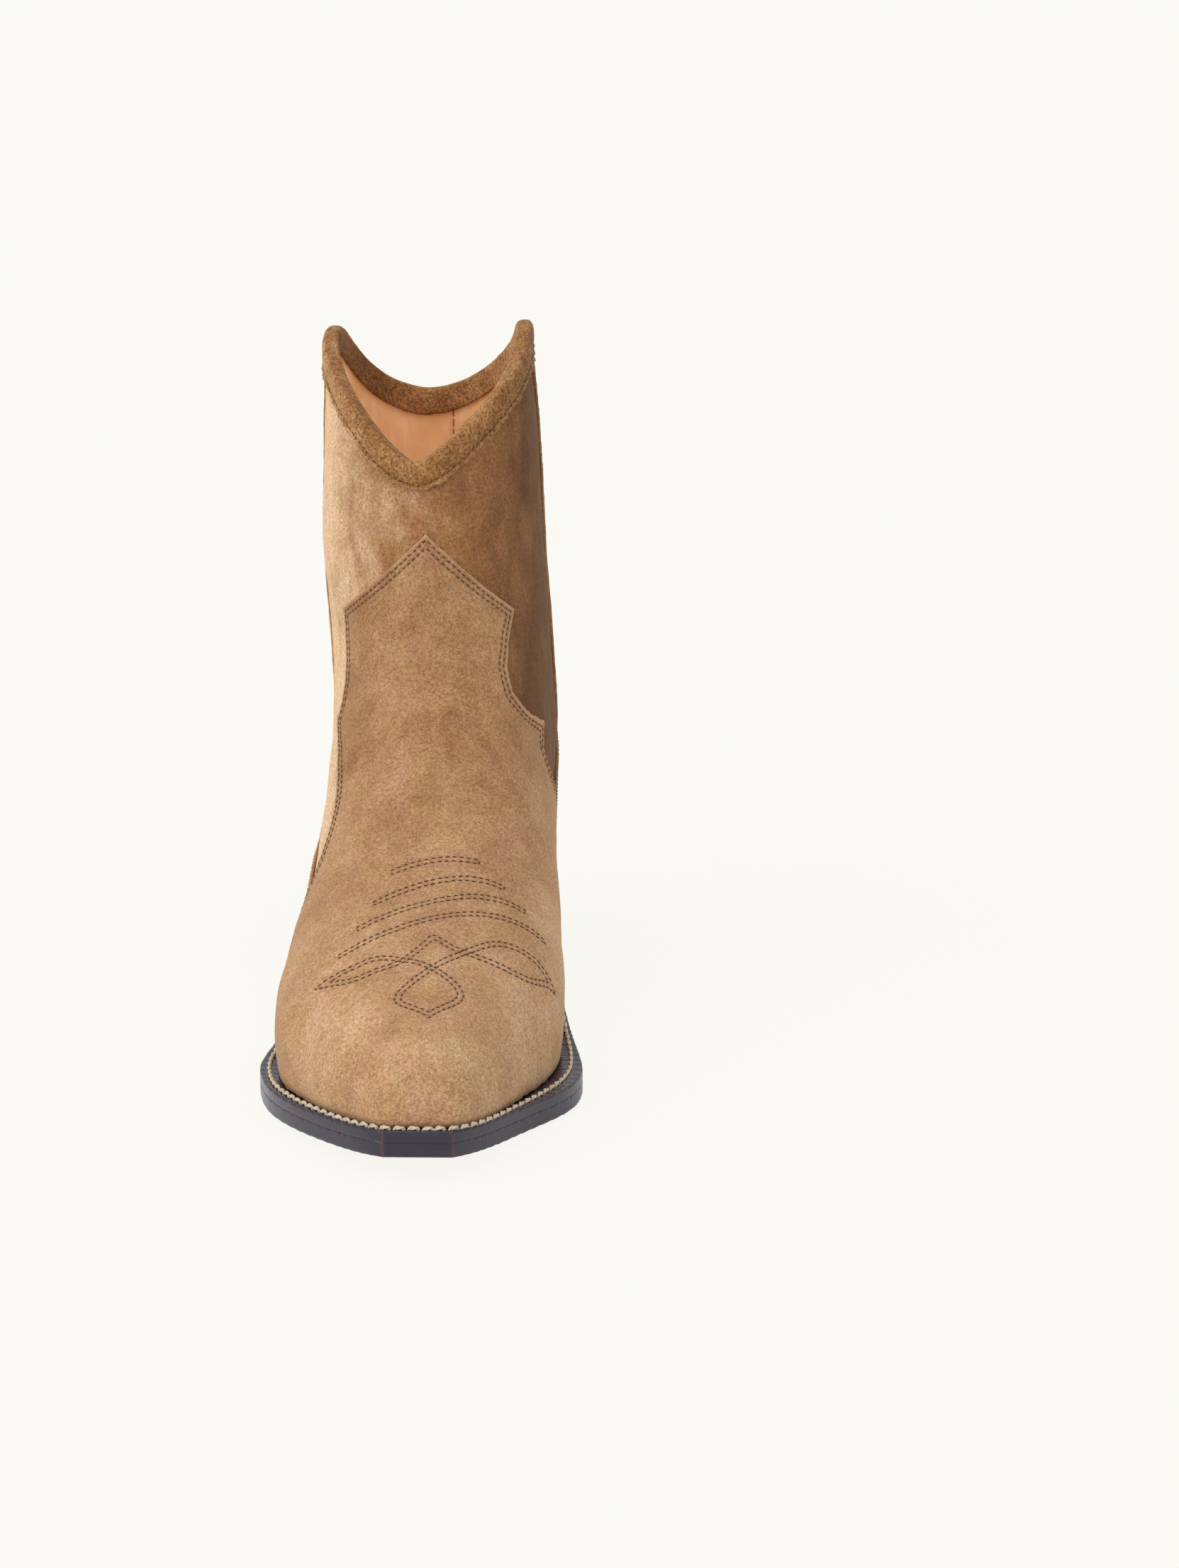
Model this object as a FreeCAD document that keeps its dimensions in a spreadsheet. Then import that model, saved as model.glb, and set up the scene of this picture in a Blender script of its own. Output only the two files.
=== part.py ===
"""Western ankle boot, right foot: suede upper, welted leather sole, stacked underslung heel.

The boot stands on the plane z = 0 with the centre of its heel above the origin. The toe
points to -Y, the inner side of the foot is +X and +Z is up. Every length is in millimetres.
The upper is a set of thin layers that follow one surface, the skin of the last. A layer is
named by its depths: positive depths lie outside the skin, negative ones inside it.
"""
import FreeCAD, Part
import Sketcher
import math
import os

Vector = FreeCAD.Vector

DRIVING_SIZES = {
    "boot_length": 277.5,
    "ball_width": 106.0,
    "shaft_height": 234.0,
    "suede_thickness": 1.3,
    "quarter_thickness": 1.4,
    "lining_thickness": 1.1,
    "binding_depth": 9.6,
    "outsole_thickness": 4.8,
    "welt_thickness": 3.9,
    "welt_band": 11.5,
    "insole_thickness": 3.0,
    "foam_thickness": 2.0,
    "sock_thickness": 1.0,
    "layer_gap": 0.05,
    "seam_overlap": 12.0,
    "piping_half_width": 2.4,
    "thread_radius": 0.6,
    "heel_seat_half_width": 30.0,
    "heel_base_half_width": 24.5,
    "heel_seat_back": 38.5,
    "heel_base_back": 26.0,
    "heel_breast": -24.0,
    "heel_stack_height": 36.0,
    "heel_lift_height": 6.0,
    "top_lift_height": 6.0,
    "nail_radius": 1.1,
    "nail_clearance": 0.1,
    "shank_half_width": 8.0,
    "shank_thickness": 1.6,
}

REFERENCE_LENGTH = 277.5
REFERENCE_WIDTH = 106.0
REFERENCE_HEIGHT = 234.0

# Sections of the skin from the toe to the top of the shaft. Each one is a closed ring in a
# plane that tilts from upright at the toe to level at the top. It holds the ring's front or
# top point (y, z), its back or bottom point (y, z), the half widths on the outer and inner
# side of the foot, the sideways shift of its centre, and how square its lower and upper
# halves are (1 is an ellipse, less is squarer).
SECTIONS = [
    ((-232.6, 20.0), (-232.2, 6.5), 8.0, 9.5, 1.0, 0.50, 1.00),
    ((-231.0, 28.5), (-229.5, 2.0), 11.5, 13.0, 0.8, 0.42, 1.00),
    ((-226.5, 35.5), (-223.5, -3.5), 16.5, 17.0, 0.6, 0.35, 1.00),
    ((-217.0, 41.0), (-214.0, -7.5), 24.0, 22.0, 0.2, 0.30, 0.98),
    ((-200.0, 46.5), (-197.0, -11.5), 34.8, 29.3, -0.3, 0.26, 0.96),
    ((-178.0, 53.0), (-175.0, -14.0), 45.4, 37.4, -0.5, 0.24, 0.94),
    ((-156.0, 61.0), (-152.0, -14.0), 48.8, 42.4, -0.3, 0.23, 0.93),
    ((-135.0, 70.5), (-126.0, -11.0), 47.5, 41.9, 0.0, 0.25, 0.93),
    ((-115.0, 83.5), (-96.0, -4.0), 44.7, 40.3, 0.0, 0.30, 0.95),
    ((-98.0, 98.0), (-62.0, 8.0), 42.6, 39.0, -0.5, 0.40, 0.97),
    ((-85.0, 114.0), (-26.0, 20.0), 41.2, 38.4, -1.0, 0.50, 1.00),
    ((-75.5, 131.0), (12.0, 34.0), 41.0, 38.6, -1.0, 0.60, 1.00),
    ((-69.0, 148.0), (38.0, 54.0), 41.0, 38.6, -1.5, 0.80, 1.00),
    ((-65.0, 165.0), (39.5, 88.0), 41.0, 37.8, -2.5, 0.90, 1.00),
    ((-62.0, 185.0), (34.0, 124.0), 41.2, 37.4, -4.0, 1.00, 1.00),
    ((-60.0, 207.0), (34.5, 160.0), 40.2, 36.8, -4.5, 1.00, 1.00),
    ((-59.0, 230.0), (39.0, 202.0), 38.2, 35.0, -5.5, 1.00, 1.00),
    ((-58.5, 252.0), (44.0, 252.0), 35.8, 32.2, -6.0, 1.00, 1.00),
]
TOE_TIP = (1.0, -232.3, 9.0)
POINTS_PER_SECTION = 20

# Underside of the outsole seen from the side (y, z): toe spring, tread, arch and heel seat.
SOLE_BOTTOM = [
    (-244.0, 9.0), (-237.0, 7.5), (-200.0, 2.6), (-160.0, 0.0), (-130.0, 2.0), (-100.0, 9.5),
    (-60.0, 24.0), (-25.0, 36.5), (10.0, 44.0), (36.0, 48.0), (50.0, 50.0),
]

# Edge of the sole seen from above, from the outer toe corner round the heel to the inner one.
SOLE_EDGE = [
    (-9.0, -237.5), (-15.0, -232.5), (-23.0, -223.5), (-32.0, -212.0), (-42.0, -197.5),
    (-50.0, -181.5), (-54.0, -167.5), (-55.6, -154.5), (-54.0, -142.0), (-50.4, -125.0),
    (-45.0, -100.0), (-39.5, -72.0), (-35.0, -45.0), (-32.5, -20.0), (-31.8, 2.0), (-28.5, 19.0),
    (-19.0, 33.5), (0.0, 40.5), (19.0, 33.5), (28.5, 19.0), (31.8, 2.0),
    (32.5, -20.0), (34.5, -45.0), (37.5, -72.0), (41.3, -100.0), (45.2, -125.0),
    (48.7, -144.5), (50.0, -156.0), (49.0, -169.0), (44.3, -182.5), (37.8, -194.5), (31.2, -206.5),
    (25.0, -218.5), (18.6, -229.5), (12.5, -237.5),
]

# Top line: an ellipse round the shaft, the tilt of its two side peaks, then the depth of the
# front V and of the back dip and how far round the leg each lowest point is turned.
SHAFT_CENTRE = (-5.5, -9.0)
SHAFT_RADII = (37.0, 50.0)
TOP_TILT = 1.1
FRONT_DROP = 41.4
FRONT_TURN = -0.11
FRONT_ROUNDING = 0.22
BACK_DROP = 28.7
BACK_TURN = 0.21
BACK_SQUARENESS = 3.0
TOP_LINE_POINTS = 48
TOP_LINE_REACHES = (0.25, 2.2)
OFFSET_STEPS = 8
SEAM_Y = -9.0

# Outline of the vamp: the two edges of its tongue seen from the front (x, z), from the tip
# down to the wings, then its two sides seen from the side (y, z), from the wings to the sole.
TONGUE_TIP = (-5.5, 168.5)
TONGUE_INNER = [(24.3, 140.5), (22.6, 132.0), (22.0, 122.5), (24.3, 114.0), (29.0, 107.0), (34.0, 101.0)]
TONGUE_OUTER = [(-36.2, 138.6), (-35.3, 130.0), (-34.5, 121.0), (-34.8, 114.5), (-35.8, 108.5), (-37.2, 103.0)]
VAMP_SIDE_INNER = [(-56.0, 101.0), (-63.5, 93.0), (-61.0, 83.0), (-50.0, 70.0), (-42.0, 52.0), (-40.0, 20.0)]
VAMP_SIDE_OUTER = [
    (-57.0, 103.0), (-64.0, 98.5), (-74.0, 93.0), (-84.0, 86.5), (-94.0, 79.0), (-102.0, 72.5),
    (-108.5, 65.5), (-113.5, 58.0), (-117.0, 48.0), (-119.5, 36.0), (-121.0, 20.0),
]
WING_TOP_INNER = 112.0
WING_TOP_OUTER = 103.0
# Hidden front edges of the quarter panels under the vamp, seen from the side.
UNDER_VAMP_INNER = [(-86.0, 112.0), (-76.0, 94.0), (-71.0, 83.0), (-60.0, 70.0), (-53.0, 52.0), (-51.0, 20.0)]
UNDER_VAMP_OUTER = [(-88.0, 112.0), (-95.0, 97.0), (-107.0, 84.0), (-118.0, 69.0), (-126.0, 52.0), (-131.0, 20.0)]
# Top edge of the counter cover seen from the side, from the heel forwards.
COUNTER_EDGE = [(60.0, 104.0), (32.0, 104.0), (12.0, 98.0), (-10.0, 84.0), (-30.0, 73.0), (-52.0, 66.0)]
COUNTER_EDGE_OUTER = COUNTER_EDGE + [(-75.0, 61.0), (-126.0, 52.0)]

# Rear edge of the vamp lining seen from the side, from its top down.
VAMP_LINING_EDGE = [(-76.0, 118.0), (-38.0, 45.0)]
TOE_PUFF_REAR = -178.0
TONGUE_TIP_GROWTH = 1.4
WELT_SEAM_POINTS = 241
WELT_SEAM_PLACE = 0.5

# Heel and its fasteners.
BREAST_JOINT = -24.0
LIFT_COUNT = 5
WEDGE_ROOM = 20.0
NAIL_COUNT = 6
NAIL_CIRCLE = 17.0
NAIL_LENGTH = 18.0
NAIL_HEAD_RADIUS = 2.2
NAIL_HEAD_HEIGHT = 0.9
BRAD_LENGTH = 10.0
RIVET_RADIUS = 2.0
RIVET_INSET = 1.0
RIVET_PLACES = (-78.0, -24.0)
SHANK_ENDS = (-92.0, -12.0)

# Space round the boot that the cutting tools reach into, and a level below the ground.
REACH = 400.0
BELOW = -50.0
SEARCH_ROUNDS = 40
document = FreeCAD.newDocument("western_ankle_boot")
subparts = []


# ---------------------------------------------------------------- spreadsheet and helpers

def make_sheet():
    """Driving dimensions, one named cell each."""
    sheet = document.addObject("Spreadsheet::Sheet", "sizes")
    for row, (name, value) in enumerate(DRIVING_SIZES.items(), start=1):
        sheet.set("A%d" % row, name)
        sheet.set("B%d" % row, str(value))
        sheet.setAlias("B%d" % row, name)
    document.recompute()
    return sheet


sizes = make_sheet()


def size(name):
    """Value of one driving dimension."""
    return float(sizes.get(name))


LENGTH_SCALE = size("boot_length") / REFERENCE_LENGTH
WIDTH_SCALE = size("ball_width") / REFERENCE_WIDTH
HEIGHT_SCALE = size("shaft_height") / REFERENCE_HEIGHT
GAP = size("layer_gap")
SUEDE_TOP = GAP + size("suede_thickness")
QUARTER_TOP = -GAP
QUARTER_BOTTOM = QUARTER_TOP - size("quarter_thickness")
LINING_TOP = QUARTER_BOTTOM - GAP
LINING_BOTTOM = LINING_TOP - size("lining_thickness")
BINDING_INNER_TOP = LINING_BOTTOM - GAP
BINDING_INNER_BOTTOM = BINDING_INNER_TOP - size("suede_thickness")
FEATHER_HEIGHT = size("outsole_thickness") + size("welt_thickness")


def at(x, y, z):
    """A point of the boot, scaled from the reference sizes."""
    return Vector(x * WIDTH_SCALE, y * LENGTH_SCALE, z * HEIGHT_SCALE)


def add_subpart(label, shape):
    """Store one finished shape as a named sub-part."""
    item = document.addObject("Part::Feature", label)
    item.Label = label
    item.Shape = shape
    item.Placement = FreeCAD.Placement()
    subparts.append(item)
    return item


def inset_points(points, distance):
    """Move plane points to the left of their direction of travel by a distance."""
    moved = []
    for index, (across, up) in enumerate(points):
        before = points[max(index - 1, 0)]
        after = points[min(index + 1, len(points) - 1)]
        step = math.hypot(after[0] - before[0], after[1] - before[1])
        moved.append((across - distance * (after[1] - before[1]) / step,
                      up + distance * (after[0] - before[0]) / step))
    return moved


def smooth_edge(points):
    """One spline edge through the given vectors."""
    curve = Part.BSplineCurve()
    curve.interpolate(Points=points)
    return curve.toShape()


def box_between(low, high):
    """A box from its lowest to its highest corner."""
    span = [high[axis] - low[axis] for axis in range(3)]
    return Part.makeBox(span[0], span[1], span[2], Vector(*low))


# ------------------------------------------------------------------- the skin of the last

def section_ring(section):
    """Points round one section, starting at its back or bottom point."""
    (top_y, top_z), (low_y, low_z), outer, inner, shift, low_power, top_power = section
    ring = []
    for step in range(POINTS_PER_SECTION):
        angle = 2 * math.pi * step / POINTS_PER_SECTION
        across = math.sin(angle)
        rise = (1 - math.cos(angle)) / 2
        blend = rise * rise * (3 - 2 * rise)
        power = low_power * (1 - blend) + top_power * blend
        width = inner if across > 0 else outer
        x = shift
        if 0 < step < POINTS_PER_SECTION and step != POINTS_PER_SECTION // 2:
            x += math.copysign(abs(across) ** power, across) * width
        ring.append(at(x, low_y + (top_y - low_y) * rise, low_z + (top_z - low_z) * rise))
    return ring


def fit_skin(rings, spacing):
    """Smooth closed surface through the rings, with a single point at the toe."""
    columns = []
    for column in range(POINTS_PER_SECTION):
        curve = Part.BSplineCurve()
        curve.interpolate(Points=[ring[column] for ring in rings], Parameters=spacing)
        columns.append(curve)
    round_steps = [float(step) for step in range(POINTS_PER_SECTION + 1)]
    net = []
    for row in range(1, columns[0].NbPoles):
        curve = Part.BSplineCurve()
        row_points = [column.getPole(row + 1) for column in columns]
        curve.interpolate(Points=row_points, PeriodicFlag=True, Parameters=round_steps)
        net.append(curve.getPoles())
    net.insert(0, [rings[0][0]] * len(net[0]))
    surface = Part.BSplineSurface()
    surface.buildFromPolesMultsKnots(
        net, columns[0].getMultiplicities(), curve.getMultiplicities(),
        columns[0].getKnots(), curve.getKnots(), False, True, 3, 3)
    return surface


def ring_spacing(rings):
    """Spline parameter of each ring: the mean distance travelled from the toe."""
    spacing = [0.0]
    for ring, following in zip(rings[:-1], rings[1:]):
        travelled = sum((a - b).Length for a, b in zip(ring, following))
        spacing.append(spacing[-1] + travelled / POINTS_PER_SECTION)
    return spacing


SKIN_RINGS = [[at(*TOE_TIP)] * POINTS_PER_SECTION] + [section_ring(section) for section in SECTIONS]
SKIN_SPACING = ring_spacing(SKIN_RINGS)


def skin_normals():
    """Outward direction at every point of the rings."""
    surface = fit_skin(SKIN_RINGS, SKIN_SPACING)
    normals = [[Vector(0, -1, 0)] * POINTS_PER_SECTION]
    for spacing in SKIN_SPACING[1:]:
        ring = [surface.normal(spacing, float(column)) for column in range(POINTS_PER_SECTION)]
        normals.append(ring)
    front = POINTS_PER_SECTION // 2
    if normals[len(normals) // 2][front].y > 0:
        normals = [normals[0]] + [[-normal for normal in ring] for ring in normals[1:]]
    normals[-1] = [Vector(normal.x, normal.y, 0).normalize() for normal in normals[-1]]
    return normals


SKIN_NORMALS = skin_normals()


def skin_solid(depth):
    """Closed solid bounded by the skin moved outwards by a depth."""
    rings = []
    for ring, normals in zip(SKIN_RINGS, SKIN_NORMALS):
        rings.append([point + normal * depth for point, normal in zip(ring, normals)])
    face = fit_skin(rings, SKIN_SPACING).toShape()
    top_height = rings[-1][0].z
    rim = [edge for edge in face.Edges if not edge.Degenerated and edge.BoundBox.ZMin > top_height - 1]
    lid = Part.Face(Part.Wire(rim))
    solid = Part.Solid(Part.Shell([face, lid]))
    solid.fix(1e-6, 1e-6, 1e-5)
    if solid.Volume < 0:
        solid.reverse()
    return solid


SKINS = {}


def skin(depth):
    """Skin solid of one depth, made once."""
    key = round(depth, 4)
    if key not in SKINS:
        SKINS[key] = skin_solid(depth)
    return SKINS[key]


# ---------------------------------------------------------------------------- cutting tools

def side_region(outline, x_low, x_high):
    """Solid with an outline of (y, z) points seen from the side, between two x values."""
    corners = [Vector(x_low, y, z) for y, z in outline]
    face = Part.Face(Part.makePolygon(corners + corners[:1]))
    return face.extrude(Vector(x_high - x_low, 0, 0))


def sole_curve(height):
    """Side view of a surface lying a fixed height above the underside of the sole."""
    return smooth_edge([Vector(-REACH / 2, y * LENGTH_SCALE, z * HEIGHT_SCALE + height) for y, z in SOLE_BOTTOM])


def sole_strip(low, high):
    """Everything between two heights above the underside of the sole."""
    lower = sole_curve(low)
    upper = sole_curve(high)
    ends = []
    for edge_end in (0, -1):
        ends.append(Part.makeLine(lower.Vertexes[edge_end].Point, upper.Vertexes[edge_end].Point))
    face = Part.Face(Part.Wire(Part.__sortEdges__([lower, ends[0], upper, ends[1]])))
    return face.extrude(Vector(REACH, 0, 0))


def above_sole(height):
    """Everything higher than a height above the underside of the sole."""
    return sole_strip(height, REACH)


def top_height(turn):
    """Height of the top line at a turn round the shaft, zero at the front."""
    peak = size("shaft_height") + TOP_TILT * HEIGHT_SCALE * math.sin(turn)
    front = math.cos(turn) > 0
    lowest = FRONT_TURN if front else BACK_TURN
    side = abs(math.sin(turn - lowest * math.cos(turn) ** 2))
    if front:
        rounding = FRONT_ROUNDING
        share = (math.hypot(side, rounding) - rounding) / (math.hypot(1, rounding) - rounding)
        return peak - FRONT_DROP * HEIGHT_SCALE * (1 - share)
    return peak - BACK_DROP * HEIGHT_SCALE * (1 - side ** BACK_SQUARENESS)


def lowered_top_height(turn, lowering):
    """Height at a turn round the shaft of the top line moved down square to its own direction."""
    arc = math.hypot(SHAFT_RADII[0] * math.cos(turn), SHAFT_RADII[1] * math.sin(turn))
    heights = []
    for step in range(-OFFSET_STEPS, OFFSET_STEPS + 1):
        share = step / OFFSET_STEPS
        beside = top_height(turn + share * lowering / arc)
        heights.append(beside - lowering * math.sqrt(1 - share ** 2))
    return min(heights)


def above_top_line(lowering):
    """Everything above the lowered top line, in a ring whose walls no other lowering shares."""
    edges = []
    for reach in TOP_LINE_REACHES:
        reach += lowering / REACH
        points = []
        for step in range(TOP_LINE_POINTS):
            turn = 2 * math.pi * step / TOP_LINE_POINTS
            x = SHAFT_CENTRE[0] + reach * SHAFT_RADII[0] * math.sin(turn)
            y = SHAFT_CENTRE[1] - reach * SHAFT_RADII[1] * math.cos(turn)
            points.append(Vector(x * WIDTH_SCALE, y * LENGTH_SCALE, lowered_top_height(turn, lowering)))
        curve = Part.BSplineCurve()
        curve.interpolate(Points=points, PeriodicFlag=True)
        edges.append(curve.toShape())
    ruled = Part.makeRuledSurface(edges[0], edges[1])
    return ruled.extrude(Vector(0, 0, REACH / 4))


def sole_outline(inset, height):
    """Closed wire of the sole's edge seen from above, moved inwards."""
    points = inset_points(SOLE_EDGE, -inset)
    toe_y = SOLE_EDGE[0][1] + inset
    points[0] = (SOLE_EDGE[0][0] + 0.5 * inset, toe_y)
    points[-1] = (SOLE_EDGE[-1][0] - 0.5 * inset, toe_y)
    vectors = [Vector(x * WIDTH_SCALE, y * LENGTH_SCALE, height) for x, y in points]
    return Part.Wire([smooth_edge(vectors), Part.makeLine(vectors[-1], vectors[0])])


def sole_column(inset):
    """Upright solid inside the sole's edge."""
    return Part.Face(sole_outline(inset, -20.0)).extrude(Vector(0, 0, REACH / 3))


def front_region(outline, y_high):
    """Solid with an outline of (x, z) points seen from the front, up to a y value."""
    corners = [Vector(x * WIDTH_SCALE, -REACH, z * HEIGHT_SCALE) for x, z in outline]
    face = Part.Face(Part.makePolygon(corners + corners[:1]))
    return face.extrude(Vector(0, REACH + y_high * LENGTH_SCALE, 0))


def vamp_region(clearance):
    """Everything inside the outline of the vamp, grown by a small clearance."""
    tip = (TONGUE_TIP[0], TONGUE_TIP[1] + TONGUE_TIP_GROWTH * clearance)
    region = None
    inner = (TONGUE_INNER, VAMP_SIDE_INNER, WING_TOP_INNER, 1.0)
    outer = (TONGUE_OUTER, VAMP_SIDE_OUTER, WING_TOP_OUTER, -1.0)
    for edge, rear, wing_top, turn in (inner, outer):
        grown = inset_points(edge, turn * clearance)
        tongue = front_region([tip] + grown + [(tip[0], grown[-1][1])], 0.0)
        behind_wing = box_between((-REACH, (rear[0][0] + clearance) * LENGTH_SCALE, BELOW),
                                  (REACH, REACH, wing_top * HEIGHT_SCALE))
        side = front_of_edge(inset_points(rear, clearance), grown[-1][1], turn)
        part = tongue.cut(behind_wing).fuse(side)
        region = part if region is None else region.fuse(part)
    return region


def front_of_edge(edge, top, turn):
    """Everything on one side of the tongue's tip, below a height and in front of an edge."""
    corners = [(y * LENGTH_SCALE, z * HEIGHT_SCALE) for y, z in edge]
    corners[0] = (corners[0][0], top * HEIGHT_SCALE)
    corners += [(corners[-1][0], BELOW), (-REACH, BELOW), (-REACH, corners[0][1])]
    middle = TONGUE_TIP[0] * WIDTH_SCALE
    return side_region(corners, middle, middle + turn * REACH / 2)


def under_vamp_region(clearance):
    """Space of the quarter layer in front of the shaft panel, less a clearance."""
    halves = []
    for edge, turn in ((UNDER_VAMP_INNER, 1.0), (UNDER_VAMP_OUTER, -1.0)):
        moved = [(y - clearance, z - clearance) for y, z in edge]
        halves.append(front_of_edge(moved, moved[0][1], turn))
    return halves[0].fuse(halves[1])


def counter_region(inset):
    """Everything behind and below the top edge of the counter cover."""
    halves = []
    for edge, x_low, x_high in ((COUNTER_EDGE, 0.0, REACH / 2), (COUNTER_EDGE_OUTER, -REACH / 2, 0.0)):
        moved = [(y, z - inset) for y, z in edge]
        corners = [(y * LENGTH_SCALE, z * HEIGHT_SCALE) for y, z in moved]
        corners += [(corners[-1][0], BELOW), (corners[0][0], BELOW)]
        halves.append(side_region(corners, x_low, x_high))
    return halves[0].fuse(halves[1])


FRONT_HALF = box_between((-REACH / 2, -REACH, BELOW), (REACH / 2, SEAM_Y - GAP, REACH))
BACK_HALF = box_between((-REACH / 2, SEAM_Y + GAP, BELOW), (REACH / 2, REACH, REACH))
ABOVE_FEATHER = above_sole(FEATHER_HEIGHT + GAP)
BINDING_LOWER = above_top_line(size("binding_depth"))
BINDING_FOLD = above_top_line(size("suede_thickness") + GAP)
TOP_LINE = above_top_line(0.0)


def layer(outside, inside, keep, remove=()):
    """A thin layer between two depths, kept inside some solids and clear of others."""
    shape = skin(outside)
    for tool in keep:
        shape = shape.common(tool)
    for tool in remove:
        shape = shape.cut(tool)
    shape = shape.cut(skin(inside))
    return largest_solids(shape)


def largest_solids(shape, smallest_share=0.02):
    """Drop slivers that are tiny beside the biggest solid."""
    solids = sorted(shape.Solids, key=lambda solid: solid.Volume, reverse=True)
    kept = [solid for solid in solids if solid.Volume > smallest_share * solids[0].Volume]
    return kept[0] if len(kept) == 1 else Part.makeCompound(kept)


# --------------------------------------------------------------------------------- the upper

def build_upper():
    """Suede panels outside, then the panels, stiffeners and backing beneath them."""
    overlap = size("seam_overlap")
    toe_puff_zone = box_between((-REACH, -REACH, BELOW), (REACH, TOE_PUFF_REAR, REACH))
    backer_zone = box_between((-REACH, TOE_PUFF_REAR + GAP, BELOW), (REACH, REACH, REACH))
    under_vamp = under_vamp_region(GAP)
    add_subpart("vamp", layer(SUEDE_TOP, GAP, [vamp_region(0.0), ABOVE_FEATHER]))
    add_subpart("counter_cover", layer(
        SUEDE_TOP, GAP, [counter_region(0.0), ABOVE_FEATHER], [vamp_region(4 * GAP)]))
    add_subpart("front_shaft", layer(
        QUARTER_TOP, QUARTER_BOTTOM, [FRONT_HALF, ABOVE_FEATHER], [BINDING_FOLD, under_vamp_region(0.0)]))
    add_subpart("back_shaft", layer(
        QUARTER_TOP, QUARTER_BOTTOM, [BACK_HALF, ABOVE_FEATHER], [BINDING_FOLD, counter_region(overlap)]))
    add_subpart("heel_stiffener", layer(
        QUARTER_TOP, QUARTER_BOTTOM, [BACK_HALF, ABOVE_FEATHER, counter_region(overlap + GAP)]))
    add_subpart("toe_puff", layer(
        QUARTER_TOP, QUARTER_BOTTOM, [toe_puff_zone, ABOVE_FEATHER, under_vamp]))
    add_subpart("vamp_backer", layer(
        QUARTER_TOP, QUARTER_BOTTOM, [backer_zone, ABOVE_FEATHER, under_vamp]))


def build_side_piping():
    """A raised strip over each side seam, between the binding and the panels below."""
    half = size("piping_half_width")
    for side, x_low, x_high in (("inner", 0.0, REACH), ("outer", -REACH, 0.0)):
        zone = box_between((x_low, SEAM_Y - half, 0.0), (x_high, SEAM_Y + half, REACH))
        clear = [BINDING_LOWER, counter_region(-4 * GAP), vamp_region(4 * GAP)]
        add_subpart("side_piping_" + side, layer(SUEDE_TOP, GAP, [zone, ABOVE_FEATHER], clear))


def build_bindings():
    """Suede folded over the top edge: an outer leg, the fold and an inner leg."""
    for name, half in (("front_binding", FRONT_HALF), ("back_binding", BACK_HALF)):
        band = skin(SUEDE_TOP).common(half).common(BINDING_LOWER).cut(TOP_LINE)
        band = band.cut(skin(BINDING_INNER_BOTTOM))
        slot = skin(GAP).cut(BINDING_FOLD.fuse(skin(BINDING_INNER_TOP)))
        add_subpart(name, largest_solids(band.cut(slot)))


def build_linings():
    """Leather lining: a vamp lining, a front shaft lining and two back halves."""
    zones = []
    for clearance in (0.0, GAP):
        edge = [(y + clearance, z + clearance) for y, z in VAMP_LINING_EDGE]
        corners = [(-REACH, edge[0][1])] + edge + [(edge[-1][0], BELOW), (-REACH, BELOW)]
        zones.append(side_region(corners, -REACH / 2, REACH / 2))
    vamp_zone, beside_vamp_zone = zones
    add_subpart("vamp_lining", layer(LINING_TOP, LINING_BOTTOM, [vamp_zone, ABOVE_FEATHER]))
    add_subpart("front_lining", layer(
        LINING_TOP, LINING_BOTTOM, [FRONT_HALF, ABOVE_FEATHER], [BINDING_FOLD, beside_vamp_zone]))
    seam_x = SHAFT_CENTRE[0] / 2
    inner_half = box_between((seam_x + GAP, -REACH, BELOW), (REACH, REACH, REACH))
    outer_half = box_between((-REACH, -REACH, BELOW), (seam_x - GAP, REACH, REACH))
    for name, half in (("back_lining_inner", inner_half), ("back_lining_outer", outer_half)):
        add_subpart(name, layer(
            LINING_TOP, LINING_BOTTOM, [BACK_HALF, ABOVE_FEATHER, half], [BINDING_FOLD]))


# ------------------------------------------------------------------------------- the bottom

def nail_places():
    """Places of the heel nails round the middle of the heel."""
    return [(NAIL_CIRCLE * math.sin(turn), NAIL_CIRCLE * math.cos(turn))
            for turn in [2 * math.pi * index / NAIL_COUNT for index in range(NAIL_COUNT)]]


def height_at(y, height):
    """Level, at a place along the sole, of the surface a fixed height above its underside."""
    curve = sole_curve(height).Curve
    low, high = curve.FirstParameter, curve.LastParameter
    for _ in range(SEARCH_ROUNDS):
        middle = (low + high) / 2
        if curve.value(middle).y < y:
            low = middle
        else:
            high = middle
    return curve.value(low).z


def insole_height(y):
    """Height of the top of the insole board at a place along the sole."""
    return height_at(y, FEATHER_HEIGHT + GAP + size("insole_thickness"))


def nail_solid(x, y, extra):
    """One heel nail: a round shank under a flat head, or its hole when extra is added."""
    head_top = insole_height(y - NAIL_HEAD_RADIUS) - GAP
    shank = Part.makeCylinder(
        size("nail_radius") + extra, NAIL_LENGTH + extra, Vector(x, y, head_top - NAIL_LENGTH - extra))
    head_room = 4 * extra
    head = Part.makeCylinder(
        NAIL_HEAD_RADIUS + extra, NAIL_HEAD_HEIGHT + extra + head_room,
        Vector(x, y, head_top - NAIL_HEAD_HEIGHT - extra))
    return shank.fuse(head)


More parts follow.
